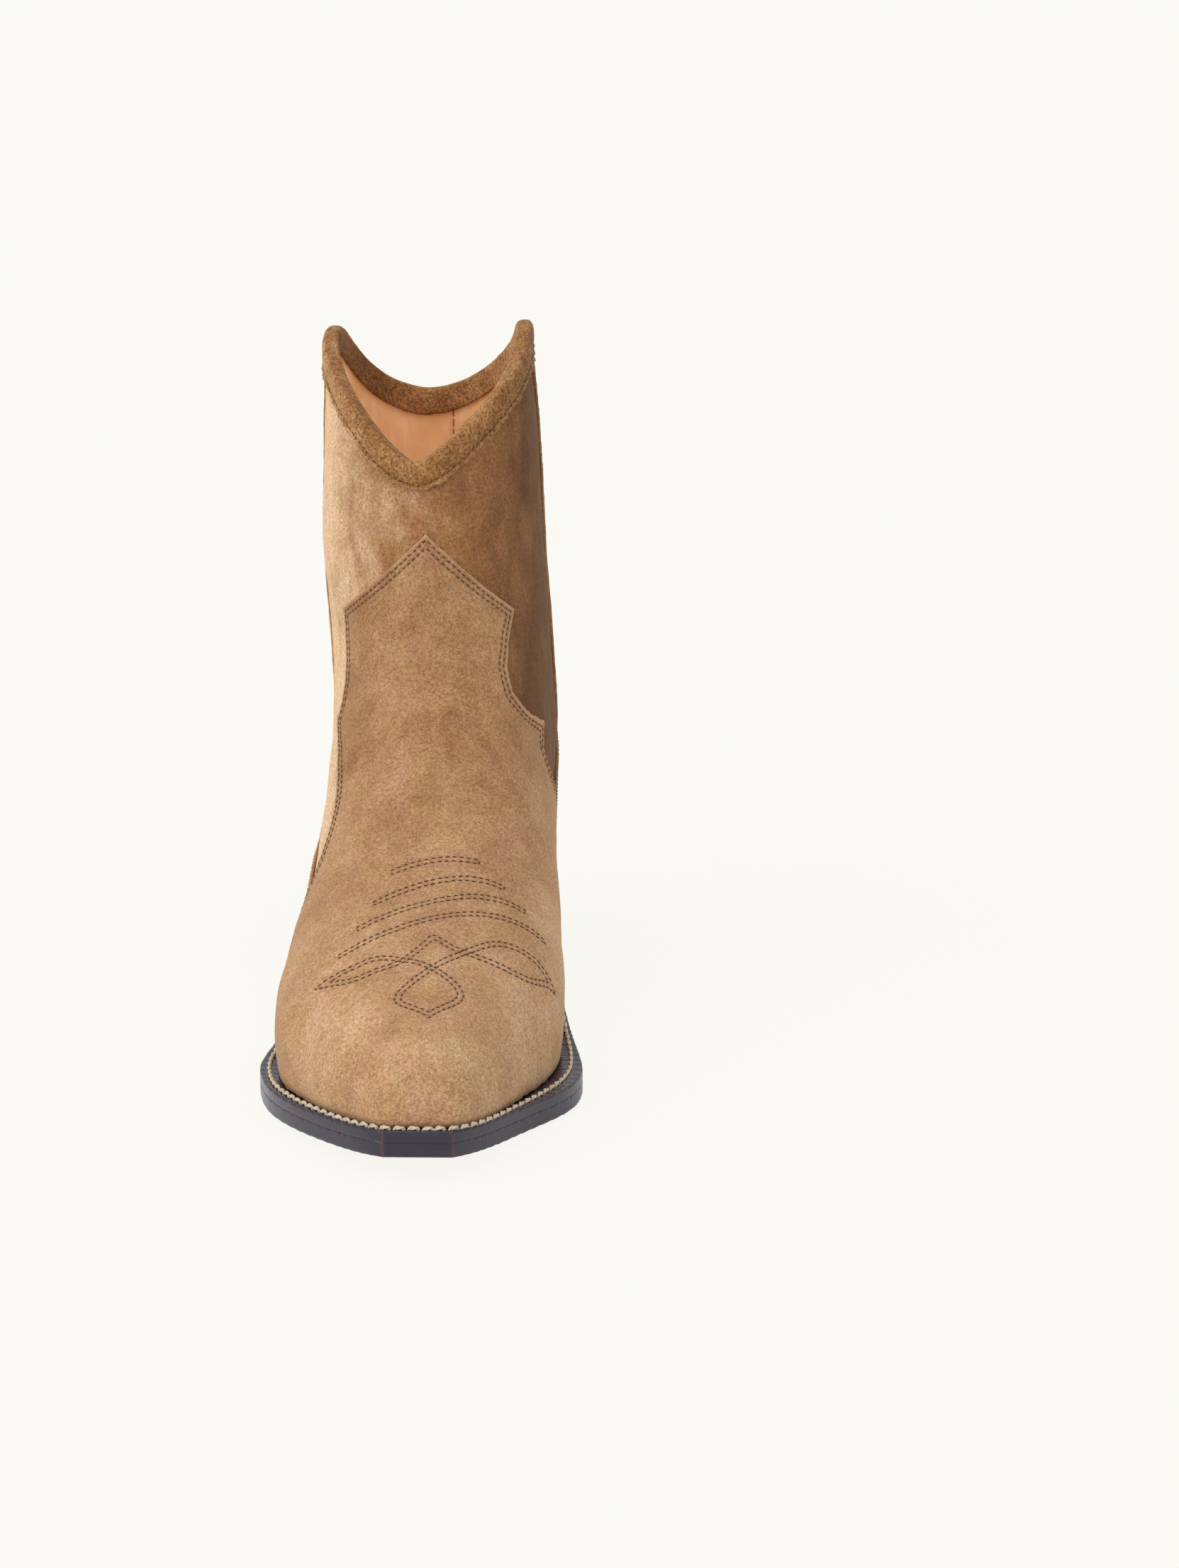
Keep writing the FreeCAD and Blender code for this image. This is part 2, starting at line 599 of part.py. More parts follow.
def build_insoles():
    """Insole board, foam and sock liner, cut to the inside of the lining."""
    inside = skin(LINING_BOTTOM - GAP)
    level = FEATHER_HEIGHT + GAP
    holes = Part.makeCompound([nail_solid(x, y, size("nail_clearance")) for x, y in nail_places()])
    rivets = Part.makeCompound([rivet_solid(y, size("nail_clearance")) for y in RIVET_PLACES])
    board = sole_strip(level, level + size("insole_thickness")).common(inside)
    add_subpart("insole_board", largest_solids(board.cut(holes).cut(rivets)))
    level += size("insole_thickness") + GAP
    foam = sole_strip(level, level + size("foam_thickness")).common(inside)
    add_subpart("insole_foam", largest_solids(foam))
    level += size("foam_thickness") + GAP
    sock = sole_strip(level, level + size("sock_thickness")).common(inside)
    add_subpart("sock_liner", largest_solids(sock))
    return holes


def rivet_solid(y, extra):
    """One rivet that holds the shank to the insole board."""
    top = insole_height(y) - RIVET_INSET
    bottom = top - size("insole_thickness") - size("shank_thickness")
    return Part.makeCylinder(RIVET_RADIUS + extra, top - bottom + extra, Vector(0, y, bottom - extra / 2))


def build_bottom_filling():
    """Steel shank under the arch with its rivets, and cork under the ball of the foot."""
    half = size("shank_half_width")
    under_insole = FEATHER_HEIGHT - GAP
    zone = box_between((-half, SHANK_ENDS[0], BELOW), (half, SHANK_ENDS[1], REACH / 4))
    shank = sole_strip(under_insole - size("shank_thickness"), under_insole).common(zone)
    for y in RIVET_PLACES:
        shank = shank.cut(rivet_solid(y, size("nail_clearance")))
    add_subpart("shank", shank)
    add_subpart("shank_rivets", Part.makeCompound([rivet_solid(y, 0.0) for y in RIVET_PLACES]))
    forepart = box_between((-REACH, -REACH, BELOW), (REACH, SHANK_ENDS[0] - 1.0, REACH))
    cork = sole_strip(size("outsole_thickness") + GAP, under_insole).common(forepart)
    add_subpart("cork_filler", cork.common(sole_column(size("welt_band") + GAP)))


def build_welt_and_rand():
    """Flat band between the upper and the outsole: welt in front, rand round the heel."""
    ring = sole_strip(size("outsole_thickness") + GAP, FEATHER_HEIGHT)
    ring = ring.common(sole_column(0.0)).cut(sole_column(size("welt_band")))
    front = box_between((-REACH, -REACH, BELOW), (REACH, BREAST_JOINT - GAP, REACH))
    back = box_between((-REACH, BREAST_JOINT + GAP, BELOW), (REACH, REACH, REACH))
    add_subpart("welt", ring.common(front))
    add_subpart("heel_rand", ring.common(back))


def welt_seam_points(radius):
    """Places of the welt seam, part of the way from the upper to the edge of the sole."""
    height = FEATHER_HEIGHT + radius + GAP
    plane = sole_curve(height).extrude(Vector(REACH, 0, 0))
    beside = skin(SUEDE_TOP + radius + 2 * GAP)
    edges = [edge for part in beside.Faces for edge in part.section(plane).Edges]
    foot_line = Part.Wire(Part.__sortEdges__(edges))
    sole_edge = sole_outline(radius, 0.0)
    points = []
    for point in foot_line.discretize(Number=WELT_SEAM_POINTS):
        if point.y > BREAST_JOINT - 2 * radius:
            continue
        plan = Vector(point.x, point.y, 0)
        nearest = sole_edge.distToShape(Part.Vertex(plan))[1][0][0]
        moved = plan + (nearest - plan) * WELT_SEAM_PLACE
        points.append(Vector(moved.x, moved.y, height_at(moved.y, height)))
    return points


def build_welt_thread():
    """Twine of the welt seam, a round cord lying on the welt beside the upper."""
    radius = size("thread_radius")
    points = welt_seam_points(radius)
    start = max(range(len(points)), key=lambda index: (points[index] - points[index - 1]).Length)
    ordered = points[start:] + points[:start]
    spine = Part.BSplineCurve()
    spine.approximate(Points=ordered, DegMax=3, Tolerance=0.02)
    path = spine.toShape()
    profile = Part.makeCircle(radius, ordered[0], spine.tangent(spine.FirstParameter)[0])
    tube = Part.Wire([path]).makePipeShell([Part.Wire([profile])], True, True)
    add_subpart("welt_thread", tube)


def build_outsole(holes):
    """Full-length leather outsole that runs back over the heel seat."""
    sole = sole_strip(0.0, size("outsole_thickness")).common(sole_column(0.0))
    add_subpart("outsole", sole.cut(holes))


# ---------------------------------------------------------------------------------- the heel

def origin_plane(body, role):
    """One of a body's own origin planes or axes."""
    return [item for item in body.Origin.OriginFeatures if item.Role == role][0]


def heel_share(name_seat, name_base, level):
    """Expression for a heel size that changes evenly from the ground to the top of the stack."""
    return "sizes.%s + (sizes.%s - sizes.%s) * (%s) / sizes.heel_stack_height" % (
        name_base, name_seat, name_base, level)


def heel_sketch(body, name, level):
    """Sketch of the heel's outline at one level: straight sides and a round back."""
    sketch = body.newObject("Sketcher::SketchObject", name)
    sketch.AttachmentSupport = [(origin_plane(body, "XY_Plane"), "")]
    sketch.MapMode = "FlatFace"
    sketch.setExpression(".AttachmentOffset.Base.z", level)
    half, centre, breast = 27.0, 5.0, -22.0
    arc = sketch.addGeometry(Part.ArcOfCircle(
        Part.Circle(Vector(0, centre, 0), Vector(0, 0, 1), half), 0, math.pi), False)
    left = sketch.addGeometry(Part.LineSegment(Vector(-half, centre, 0), Vector(-half, breast, 0)), False)
    front = sketch.addGeometry(Part.LineSegment(Vector(-half, breast, 0), Vector(half, breast, 0)), False)
    right = sketch.addGeometry(Part.LineSegment(Vector(half, breast, 0), Vector(half, centre, 0)), False)
    rules = [
        ("Coincident", arc, 2, left, 1), ("Coincident", left, 2, front, 1),
        ("Coincident", front, 2, right, 1), ("Coincident", right, 2, arc, 1),
        ("Vertical", left), ("Vertical", right), ("Horizontal", front),
        ("Horizontal", arc, 3, arc, 1), ("Horizontal", arc, 3, arc, 2), ("PointOnObject", arc, 3, -2),
    ]
    for rule in rules:
        sketch.addConstraint(Sketcher.Constraint(*rule))
    width = heel_share("heel_seat_half_width", "heel_base_half_width", level)
    back = heel_share("heel_seat_back", "heel_base_back", level)
    radius_rule = sketch.addConstraint(Sketcher.Constraint("Radius", arc, half))
    sketch.setExpression("Constraints[%d]" % radius_rule, width)
    centre_rule = sketch.addConstraint(Sketcher.Constraint("DistanceY", -1, 1, arc, 3, centre))
    sketch.setExpression("Constraints[%d]" % centre_rule, "(%s) - (%s)" % (back, width))
    breast_rule = sketch.addConstraint(Sketcher.Constraint("DistanceY", front, 1, -1, 1, -breast))
    sketch.setExpression("Constraints[%d]" % breast_rule, "-sizes.heel_breast")
    return sketch


def drill_ring(body, circle_radius, count, radius_name):
    """Drill a ring of round holes through a lift: one pocket, repeated round the centre."""
    sketch = body.newObject("Sketcher::SketchObject", body.Name + "_hole")
    sketch.AttachmentSupport = [(origin_plane(body, "XY_Plane"), "")]
    sketch.MapMode = "FlatFace"
    circle = sketch.addGeometry(Part.Circle(Vector(0, circle_radius, 0), Vector(0, 0, 1), 1.0), False)
    sketch.addConstraint(Sketcher.Constraint("PointOnObject", circle, 3, -2))
    sketch.addConstraint(Sketcher.Constraint("DistanceY", -1, 1, circle, 3, circle_radius))
    radius_rule = sketch.addConstraint(Sketcher.Constraint("Radius", circle, 1.0))
    sketch.setExpression("Constraints[%d]" % radius_rule, "sizes.%s + sizes.nail_clearance" % radius_name)
    pocket = body.newObject("PartDesign::Pocket", body.Name + "_pocket")
    pocket.Profile = sketch
    pocket.Type = "ThroughAll"
    pocket.Midplane = True
    ring = body.newObject("PartDesign::PolarPattern", body.Name + "_ring")
    ring.Originals = [pocket]
    ring.Axis = (origin_plane(body, "Z_Axis"), [""])
    ring.Angle = 360
    ring.Occurrences = count
    body.Tip = ring


def heel_layer(name, low, high, drilled):
    """One level layer of the heel, lofted between its outlines at two levels."""
    body = document.addObject("PartDesign::Body", name)
    body.Label = name
    lower = heel_sketch(body, name + "_lower", low)
    upper = heel_sketch(body, name + "_upper", high)
    loft = body.newObject("PartDesign::AdditiveLoft", name + "_loft")
    loft.Profile = lower
    loft.Sections = [upper]
    body.Tip = loft
    document.recompute()
    if drilled:
        before = body.Shape.Volume
        drill_ring(body, NAIL_CIRCLE, NAIL_COUNT, "nail_radius")
        document.recompute()
        assert body.Shape.Volume < before, name + " has no nail holes"
    subparts.append(body)
    return body


def build_heel(holes):
    """Rubber top lift, level leather lifts and the wedge that meets the sloping seat."""
    lift = "sizes.heel_lift_height"
    gap = "sizes.layer_gap"
    heel_layer("top_lift", "0", "sizes.top_lift_height - %s" % gap, True)
    for number in range(1, LIFT_COUNT + 1):
        low = "sizes.top_lift_height + %d * %s" % (number - 1, lift)
        high = "sizes.top_lift_height + %d * %s - %s" % (number, lift, gap)
        lift_body = heel_layer("heel_lift_%d" % number, low, high, number in (1, LIFT_COUNT))
    seat = max(lift_body.Shape.Faces, key=lambda face: face.CenterOfMass.z).translated(Vector(0, 0, GAP))
    wedge = seat.extrude(Vector(0, 0, WEDGE_ROOM)).cut(above_sole(-GAP))
    add_subpart("heel_wedge", largest_solids(wedge.cut(holes)))


def build_fasteners():
    """Heel nails through the insole and sole, and headless brads through the top lift."""
    add_subpart("heel_nails", Part.makeCompound([nail_solid(x, y, 0.0) for x, y in nail_places()]))
    brads = [Part.makeCylinder(size("nail_radius"), BRAD_LENGTH, Vector(x, y, GAP)) for x, y in nail_places()]
    add_subpart("top_lift_brads", Part.makeCompound(brads))


# ------------------------------------------------------------------------- check and export

def check_and_export():
    """Stop on any failed object, then write one STEP file for each sub-part."""
    document.recompute()
    for item in document.Objects:
        assert "Invalid" not in item.State and "Error" not in item.State, item.Label
    for item in subparts:
        assert not item.Shape.isNull() and item.Shape.isValid(), item.Label
    os.makedirs("parts", exist_ok=True)
    for item in subparts:
        item.Shape.exportStep("parts/%s.step" % item.Label)


def main():
    """Build every sub-part of the boot and write it."""
    build_upper()
    build_side_piping()
    build_bindings()
    build_linings()
    nail_holes = build_insoles()
    build_bottom_filling()
    build_welt_and_rand()
    build_welt_thread()
    build_outsole(nail_holes)
    build_heel(nail_holes)
    build_fasteners()
    check_and_export()


main()
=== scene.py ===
"""Looks of a low western boot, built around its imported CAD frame.

Metres, +Z up, the toe towards -Y and the inner side of the foot towards +X. The suede panels, the
bindings, the welt and the outsole are remeshed copies of their CAD solids, shaped point by point:
soft edges, sunk seams, rounded folds and pressed marks. The heel's layers are the CAD solids with
softened edges, the stitches are short lengths of thread, and every finish is a node material.
"""
import math

import bmesh
import bpy
import numpy as np
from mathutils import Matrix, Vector
from mathutils.bvhtree import BVHTree
from mathutils.kdtree import KDTree


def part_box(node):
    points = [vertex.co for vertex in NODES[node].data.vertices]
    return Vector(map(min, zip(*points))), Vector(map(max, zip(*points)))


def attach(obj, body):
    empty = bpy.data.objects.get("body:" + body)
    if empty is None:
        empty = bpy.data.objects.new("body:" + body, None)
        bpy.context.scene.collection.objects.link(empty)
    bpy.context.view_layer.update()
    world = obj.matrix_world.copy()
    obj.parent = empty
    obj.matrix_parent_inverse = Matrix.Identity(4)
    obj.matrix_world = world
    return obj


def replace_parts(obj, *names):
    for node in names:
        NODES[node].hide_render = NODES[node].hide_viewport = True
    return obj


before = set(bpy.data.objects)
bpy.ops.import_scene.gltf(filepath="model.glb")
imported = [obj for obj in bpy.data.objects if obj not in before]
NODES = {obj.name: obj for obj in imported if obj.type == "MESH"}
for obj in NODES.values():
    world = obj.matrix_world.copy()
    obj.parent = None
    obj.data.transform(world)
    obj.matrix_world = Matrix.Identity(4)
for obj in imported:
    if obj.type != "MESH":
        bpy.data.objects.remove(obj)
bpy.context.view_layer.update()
SCENE = bpy.context.scene
MM = 0.001

# ------------------------------------------------------------- sizes of the soft work, metres
PANEL_VOXEL = 0.55 * MM
BAND_VOXEL = 0.5 * MM
MERGE = 0.002 * MM
SMALLEST_SKIN = 300 * MM * MM
SUEDE_WAVE = 0.22 * MM
EDGE_WOBBLE = 0.20 * MM
RAW_EDGE_WIDTH = 0.9 * MM
GROOVE_DEPTH = 0.25 * MM
GROOVE_HALF_WIDTH = 0.8 * MM
NEAR_WELT_DARK_HEIGHT = 3.0 * MM
CORNER_RUB = 0.9 * MM
JOINT_REACH = 1.2 * MM
JOINT_OVERLAP = 0.5 * MM
LIP_HEIGHT = 0.7 * MM

LINE_STEP = 0.4 * MM
STITCH_PITCH = 2.3 * MM
STITCH_LENGTH = 1.5 * MM
THREAD_RADIUS = 0.25 * MM
BINDING_THREAD_RADIUS = 0.18 * MM
LINING_THREAD_RADIUS = 0.3 * MM
LINING_STITCH_PITCH = 1.8 * MM
LINING_STITCH_SWING = 1.1 * MM
EDGE_ROWS = (1.5 * MM, 3.4 * MM)
TOE_ROW_HALF = 0.95 * MM
BINDING_SEAM_RISE = 1.7 * MM
BINDING_BULGE = 0.35 * MM
BINDING_MIDDLE = 5.0 * MM
BINDING_FULL_WIDTH = 8.5 * MM
CLEAR_OF_WELT = 3.5 * MM
STRIP_SINK = 0.4 * MM
TOP_RIM_DEPTH = 1.5 * MM
TOP_CORE_POINTS = 1801
HEM_WAVE = 0.45 * MM
HEM_LIFT = 0.35 * MM
# Painted light: the pale lining leathers glow faintly in their own colour, as a share of full brightness, in
# place of light passed on inside the leg.
LINING_PAINTED_GLOW = 0.12
WELT_STITCH_PITCH = 4.4 * MM
WELT_PLY_RADIUS = 0.47 * MM
WELT_PLY_SWING = 0.62 * WELT_PLY_RADIUS
WELT_TWIST = 1.6 * math.pi
WELT_PITCH_STEPS = 15
WELT_STITCH_RINGS = 13
NOTCH_DEPTH = 0.18 * MM

# Toe stitching in plan, millimetres: each wrinkle row is an arc through three points.
WRINKLE_ROWS = (
    ((-13.0, -138.5), (1.0, -134.8), (15.5, -132.5)),
    ((-18.0, -151.0), (3.0, -143.0), (24.0, -138.0)),
    ((-22.5, -162.0), (5.0, -151.0), (31.0, -142.0)),
    ((-27.5, -172.5), (6.0, -159.5), (37.5, -147.0)),
)
# The knot below them is one closed strand, with corners at its top, its two leaf tips and its foot.
KNOT_ARMS = (
    ((2.5, -170.5), (13.0, -175.4), (31.0, -171.6), (40.5, -160.0)),
    ((40.5, -160.0), (33.4, -160.7), (23.0, -165.4), (13.0, -175.4), (3.2, -186.4), (-6.6, -202.0),
     (3.8, -210.8)),
    ((3.8, -210.8), (12.8, -197.0), (3.2, -186.4), (-6.1, -182.1), (-14.7, -179.4), (-23.2, -180.8),
     (-32.7, -181.6)),
    ((-32.7, -181.6), (-22.7, -186.6), (-14.2, -185.5), (-6.1, -182.1), (2.5, -170.5)),
)


# ------------------------------------------------------------------------- meshes as arrays

def read_points(mesh):
    """Vertex places of a mesh, one row each."""
    flat = np.empty(len(mesh.vertices) * 3, np.float32)
    mesh.vertices.foreach_get("co", flat)
    return flat.reshape(-1, 3).astype(float)


def read_normals(mesh):
    """Vertex normals of a mesh, one row each."""
    flat = np.empty(len(mesh.vertices) * 3, np.float32)
    mesh.vertex_normals.foreach_get("vector", flat)
    return flat.reshape(-1, 3).astype(float)


def read_edges(mesh):
    """Vertex pairs of a mesh's edges."""
    flat = np.empty(len(mesh.edges) * 2, np.int32)
    mesh.edges.foreach_get("vertices", flat)
    return flat.reshape(-1, 2)


def write_points(mesh, points):
    mesh.vertices.foreach_set("co", points.astype(np.float32).ravel())
    mesh.update()


def store(mesh, name, values):
    """Keeps one number per vertex for the finish to read."""
    attribute = mesh.attributes.new(name, "FLOAT", "POINT")
    attribute.data.foreach_set("value", values.astype(np.float32))


def unit(rows):
    """Rows scaled to length one."""
    return rows / np.maximum(np.linalg.norm(rows, axis=1, keepdims=True), 1e-12)


def fade(values, reach):
    """One at zero, falling smoothly to zero at reach."""
    share = np.clip(1 - values / reach, 0, 1)
    return share * share * (3 - 2 * share)


def relax(points, edges, rounds, weight):
    """Points moved towards the mean of their neighbours, by weight, again and again."""
    first, second = edges.T
    count = np.bincount(edges.ravel(), minlength=len(points))
    for _ in range(rounds):
        total = np.column_stack([
            np.bincount(first, points[second, axis], len(points))
            + np.bincount(second, points[first, axis], len(points))
            for axis in range(3)])
        points = points + weight[:, None] * (total / count[:, None] - points)
    return points


def waves(points, length, seed):
    """A smooth field between about -1 and 1 with bumps of roughly the given length."""
    random = np.random.default_rng(seed)
    total = np.zeros(len(points))
    count = 9
    for _ in range(count):
        direction = unit(random.normal(size=(1, 3)))[0]
        turn = 2 * math.pi / (length * random.uniform(0.7, 1.5))
        total += np.sin(points @ direction * turn + random.uniform(0, 2 * math.pi))
    return total / math.sqrt(count)


def line_tree(points):
    """A search tree over points."""
    tree = KDTree(len(points))
    for index, point in enumerate(points):
        tree.insert(point, index)
    tree.balance()
    return tree


def distances(points, tree):
    """Distance from each point to the nearest one in a search tree."""
    return np.array([tree.find(point)[2] for point in points])


def surface_distances(points, tree, reach):
    """Distance from each point to a surface, reach where the surface is further."""
    found = (tree.find_nearest(point, reach)[3] for point in points)
    return np.array([reach if distance is None else distance for distance in found])


def surface_tree(mesh):
    """A search tree over the faces of a mesh."""
    work = bmesh.new()
    work.from_mesh(mesh)
    tree = BVHTree.FromBMesh(work)
    work.free()
    return tree


def on_surface(points, tree):
    """Nearest places on a surface, with its normals there."""
    found = [tree.find_nearest(point) for point in points]
    places = np.array([place for place, _, _, _ in found])
    normals = np.array([normal for _, normal, _, _ in found])
    return places, normals


# ------------------------------------------------------------- the foot's own directions

BINDINGS = ("front_binding", "back_binding")
BINDING_LOW = [min(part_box(node)[0][axis] for node in BINDINGS) for axis in range(3)]
BINDING_HIGH = [max(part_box(node)[1][axis] for node in BINDINGS) for axis in range(3)]
LEG_CENTRE = np.array([(low + high) / 2 for low, high in zip(BINDING_LOW, BINDING_HIGH)])
BOOT_HEIGHT = BINDING_HIGH[2]
TOE_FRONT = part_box("vamp")[0].y
SPINE = np.array([
    (LEG_CENTRE[0], LEG_CENTRE[1], BOOT_HEIGHT * 1.1),
    (LEG_CENTRE[0], LEG_CENTRE[1], BOOT_HEIGHT * 0.27),
    (0.0, TOE_FRONT + 32 * MM, BOOT_HEIGHT * 0.1),
])


def outward(points):
    """Unit directions from the foot's centre line to each point."""
    best = np.full(len(points), np.inf)
    result = np.zeros_like(points)
    for start, end in zip(SPINE, SPINE[1:]):
        along = end - start
        share = np.clip((points - start) @ along / (along @ along), 0, 1)
        offset = points - (start + share[:, None] * along)
        length = np.linalg.norm(offset, axis=1)
        closer = length < best
        best[closer] = length[closer]
        result[closer] = offset[closer]
    return unit(result)


def turn_round_leg(points):
    """Angle round the leg, zero at the front and growing towards the inner side."""
    return np.arctan2(points[:, 0] - LEG_CENTRE[0], LEG_CENTRE[1] - points[:, 1])


def top_slices():
    """Points of both bindings in a narrow slice at each of the top line's angles."""
    points = np.vstack([read_points(NODES[node].data) for node in BINDINGS])
    turns = turn_round_leg(points)
    for angle in TOP_ANGLES:
        away = np.abs((turns - angle + math.pi) % (2 * math.pi) - math.pi)
        yield points[away < TOP_SLICE_HALF]


def measure_top_line():
    """Height of the folded top edge at each of its angles, evened out over seven of them."""
    heights = [here[:, 2].max() for here in top_slices()]
    return np.convolve(np.r_[heights[-4:-1], heights, heights[1:4]], np.ones(7) / 7, "valid")


TOP_ANGLES = np.linspace(-math.pi, math.pi, 181)
TOP_SLICE_HALF = math.pi / 90
TOP_HEIGHTS = measure_top_line()


def below_top_line(points):
    """How far each point lies under the folded top edge."""
    return np.interp(turn_round_leg(points), TOP_ANGLES, TOP_HEIGHTS) - points[:, 2]


def measure_top_core():
    """Centre line of the rounded top fold, and the fold's radius at each of its points."""
    measured = []
    for here in top_slices():
        height = here[:, 2].max()
        rim = here[here[:, 2] > height - TOP_RIM_DEPTH]
        reach = np.hypot(rim[:, 0] - LEG_CENTRE[0], rim[:, 1] - LEG_CENTRE[1])
        measured.append((height, (reach.max() + reach.min()) / 2, (reach.max() - reach.min()) / 2))
    angles = np.linspace(-math.pi, math.pi, TOP_CORE_POINTS)
    height, middle, radius = (np.interp(angles, TOP_ANGLES, column) for column in np.transpose(measured))
    core = np.column_stack([
        LEG_CENTRE[0] + middle * np.sin(angles),
        LEG_CENTRE[1] - middle * np.cos(angles),
        height - radius])
    return core, radius


def rounded_top(points):
    """Points of a folded strip, pulled in to a half-round edge along the top."""
    core, radius = measure_top_core()
    tree = line_tree(core)
    nearest = [tree.find(point)[1] for point in points]
    away = points - core[nearest]
    shrink = np.minimum(1, radius[nearest] / np.maximum(np.linalg.norm(away, axis=1), 1e-9))
    shrink[away[:, 2] < 0] = 1
    return core[nearest] + away * shrink[:, None]


# ----------------------------------------------------------------------------- node finishes

def tone(red, green, blue):
    """A screen colour, 0 to 255, as the linear colour that a finish uses."""
    linear = [((value / 255 + 0.055) / 1.055) ** 2.4 for value in (red, green, blue)]
    return (*linear, 1.0)


class Finish:
    """A material built up node by node over one Principled shader."""

    def __init__(self, name):
        self.material = bpy.data.materials.new(name)
        self.material.use_nodes = True
        self.nodes = self.material.node_tree.nodes
        self.links = self.material.node_tree.links
        self.shader = self.nodes["Principled BSDF"]
        self.place = self.nodes.new("ShaderNodeTexCoord").outputs["Object"]

    def put(self, socket, value):
        """Sets a socket to a number or colour, or links it."""
        if isinstance(value, bpy.types.NodeSocket):
            self.links.new(value, socket)
        else:
            socket.default_value = value

    def set(self, **inputs):
        """Sets inputs of the shader: an underscore stands for a space."""
        for name, value in inputs.items():
            self.put(self.shader.inputs[name.replace("_", " ")], value)

    def stretch(self, x, y, z):
        """Object coordinates scaled along each axis."""
        node = self.nodes.new("ShaderNodeMapping")
        self.put(node.inputs["Vector"], self.place)
        node.inputs["Scale"].default_value = (x, y, z)
        return node.outputs["Vector"]

    def noise(self, size, detail=3.0, rough=0.5, place=None):
        """Noise whose blobs are about size across, in metres."""
        node = self.nodes.new("ShaderNodeTexNoise")
        self.put(node.inputs["Vector"], place or self.place)
        node.inputs["Scale"].default_value = 1 / size
        node.inputs["Detail"].default_value = detail
        node.inputs["Roughness"].default_value = rough
        return node.outputs["Fac"]

    def cells(self, size):
        """Distance to the nearest of scattered points, for pores and creases."""
        node = self.nodes.new("ShaderNodeTexVoronoi")
        self.put(node.inputs["Vector"], self.place)
        node.inputs["Scale"].default_value = 1 / size
        return node.outputs["Distance"]

    def calc(self, operation, first, second=0.0):
        node = self.nodes.new("ShaderNodeMath")
        node.operation = operation
        self.put(node.inputs[0], first)
        self.put(node.inputs[1], second)
        return node.outputs[0]

    def span(self, value, low, high, start=0.0, end=1.0):
        """Maps low..high to start..end, held at the ends."""
        node = self.nodes.new("ShaderNodeMapRange")
        self.put(node.inputs["Value"], value)
        node.inputs["From Min"].default_value = low
        node.inputs["From Max"].default_value = high
        node.inputs["To Min"].default_value = start
        node.inputs["To Max"].default_value = end
        return node.outputs["Result"]

    def mix(self, share, first, second, blend="MIX"):
        """Two colours mixed by share."""
        node = self.nodes.new("ShaderNodeMix")
        node.data_type = "RGBA"
        node.blend_type = blend
        self.put(node.inputs[0], share)
        self.put(node.inputs[6], first)
        self.put(node.inputs[7], second)
        return node.outputs[2]

    def grey(self, value):
        """A colour whose three parts are all value, which may pass one."""
        node = self.nodes.new("ShaderNodeCombineColor")
        for part in node.inputs:
            self.put(part, value)
        return node.outputs["Color"]

    def kept(self, name):
        """A number kept per vertex by store()."""
        node = self.nodes.new("ShaderNodeAttribute")
        node.attribute_name = name
        return node.outputs["Fac"]

    def split(self, vector):
        """The X, Y and Z of a vector."""
        node = self.nodes.new("ShaderNodeSeparateXYZ")
        self.put(node.inputs[0], vector)
        return node.outputs

    def facing(self):
        """The surface normal's X, Y and Z."""
        return self.split(self.nodes.new("ShaderNodeNewGeometry").outputs["Normal"])

    def relief(self, height, depth, below=None):
        """Bump of the given depth in metres, over another bump if there is one."""
        node = self.nodes.new("ShaderNodeBump")
        node.inputs["Distance"].default_value = depth
        self.put(node.inputs["Height"], height)
        if below is not None:
            self.put(node.inputs["Normal"], below)
        return node.outputs["Normal"]


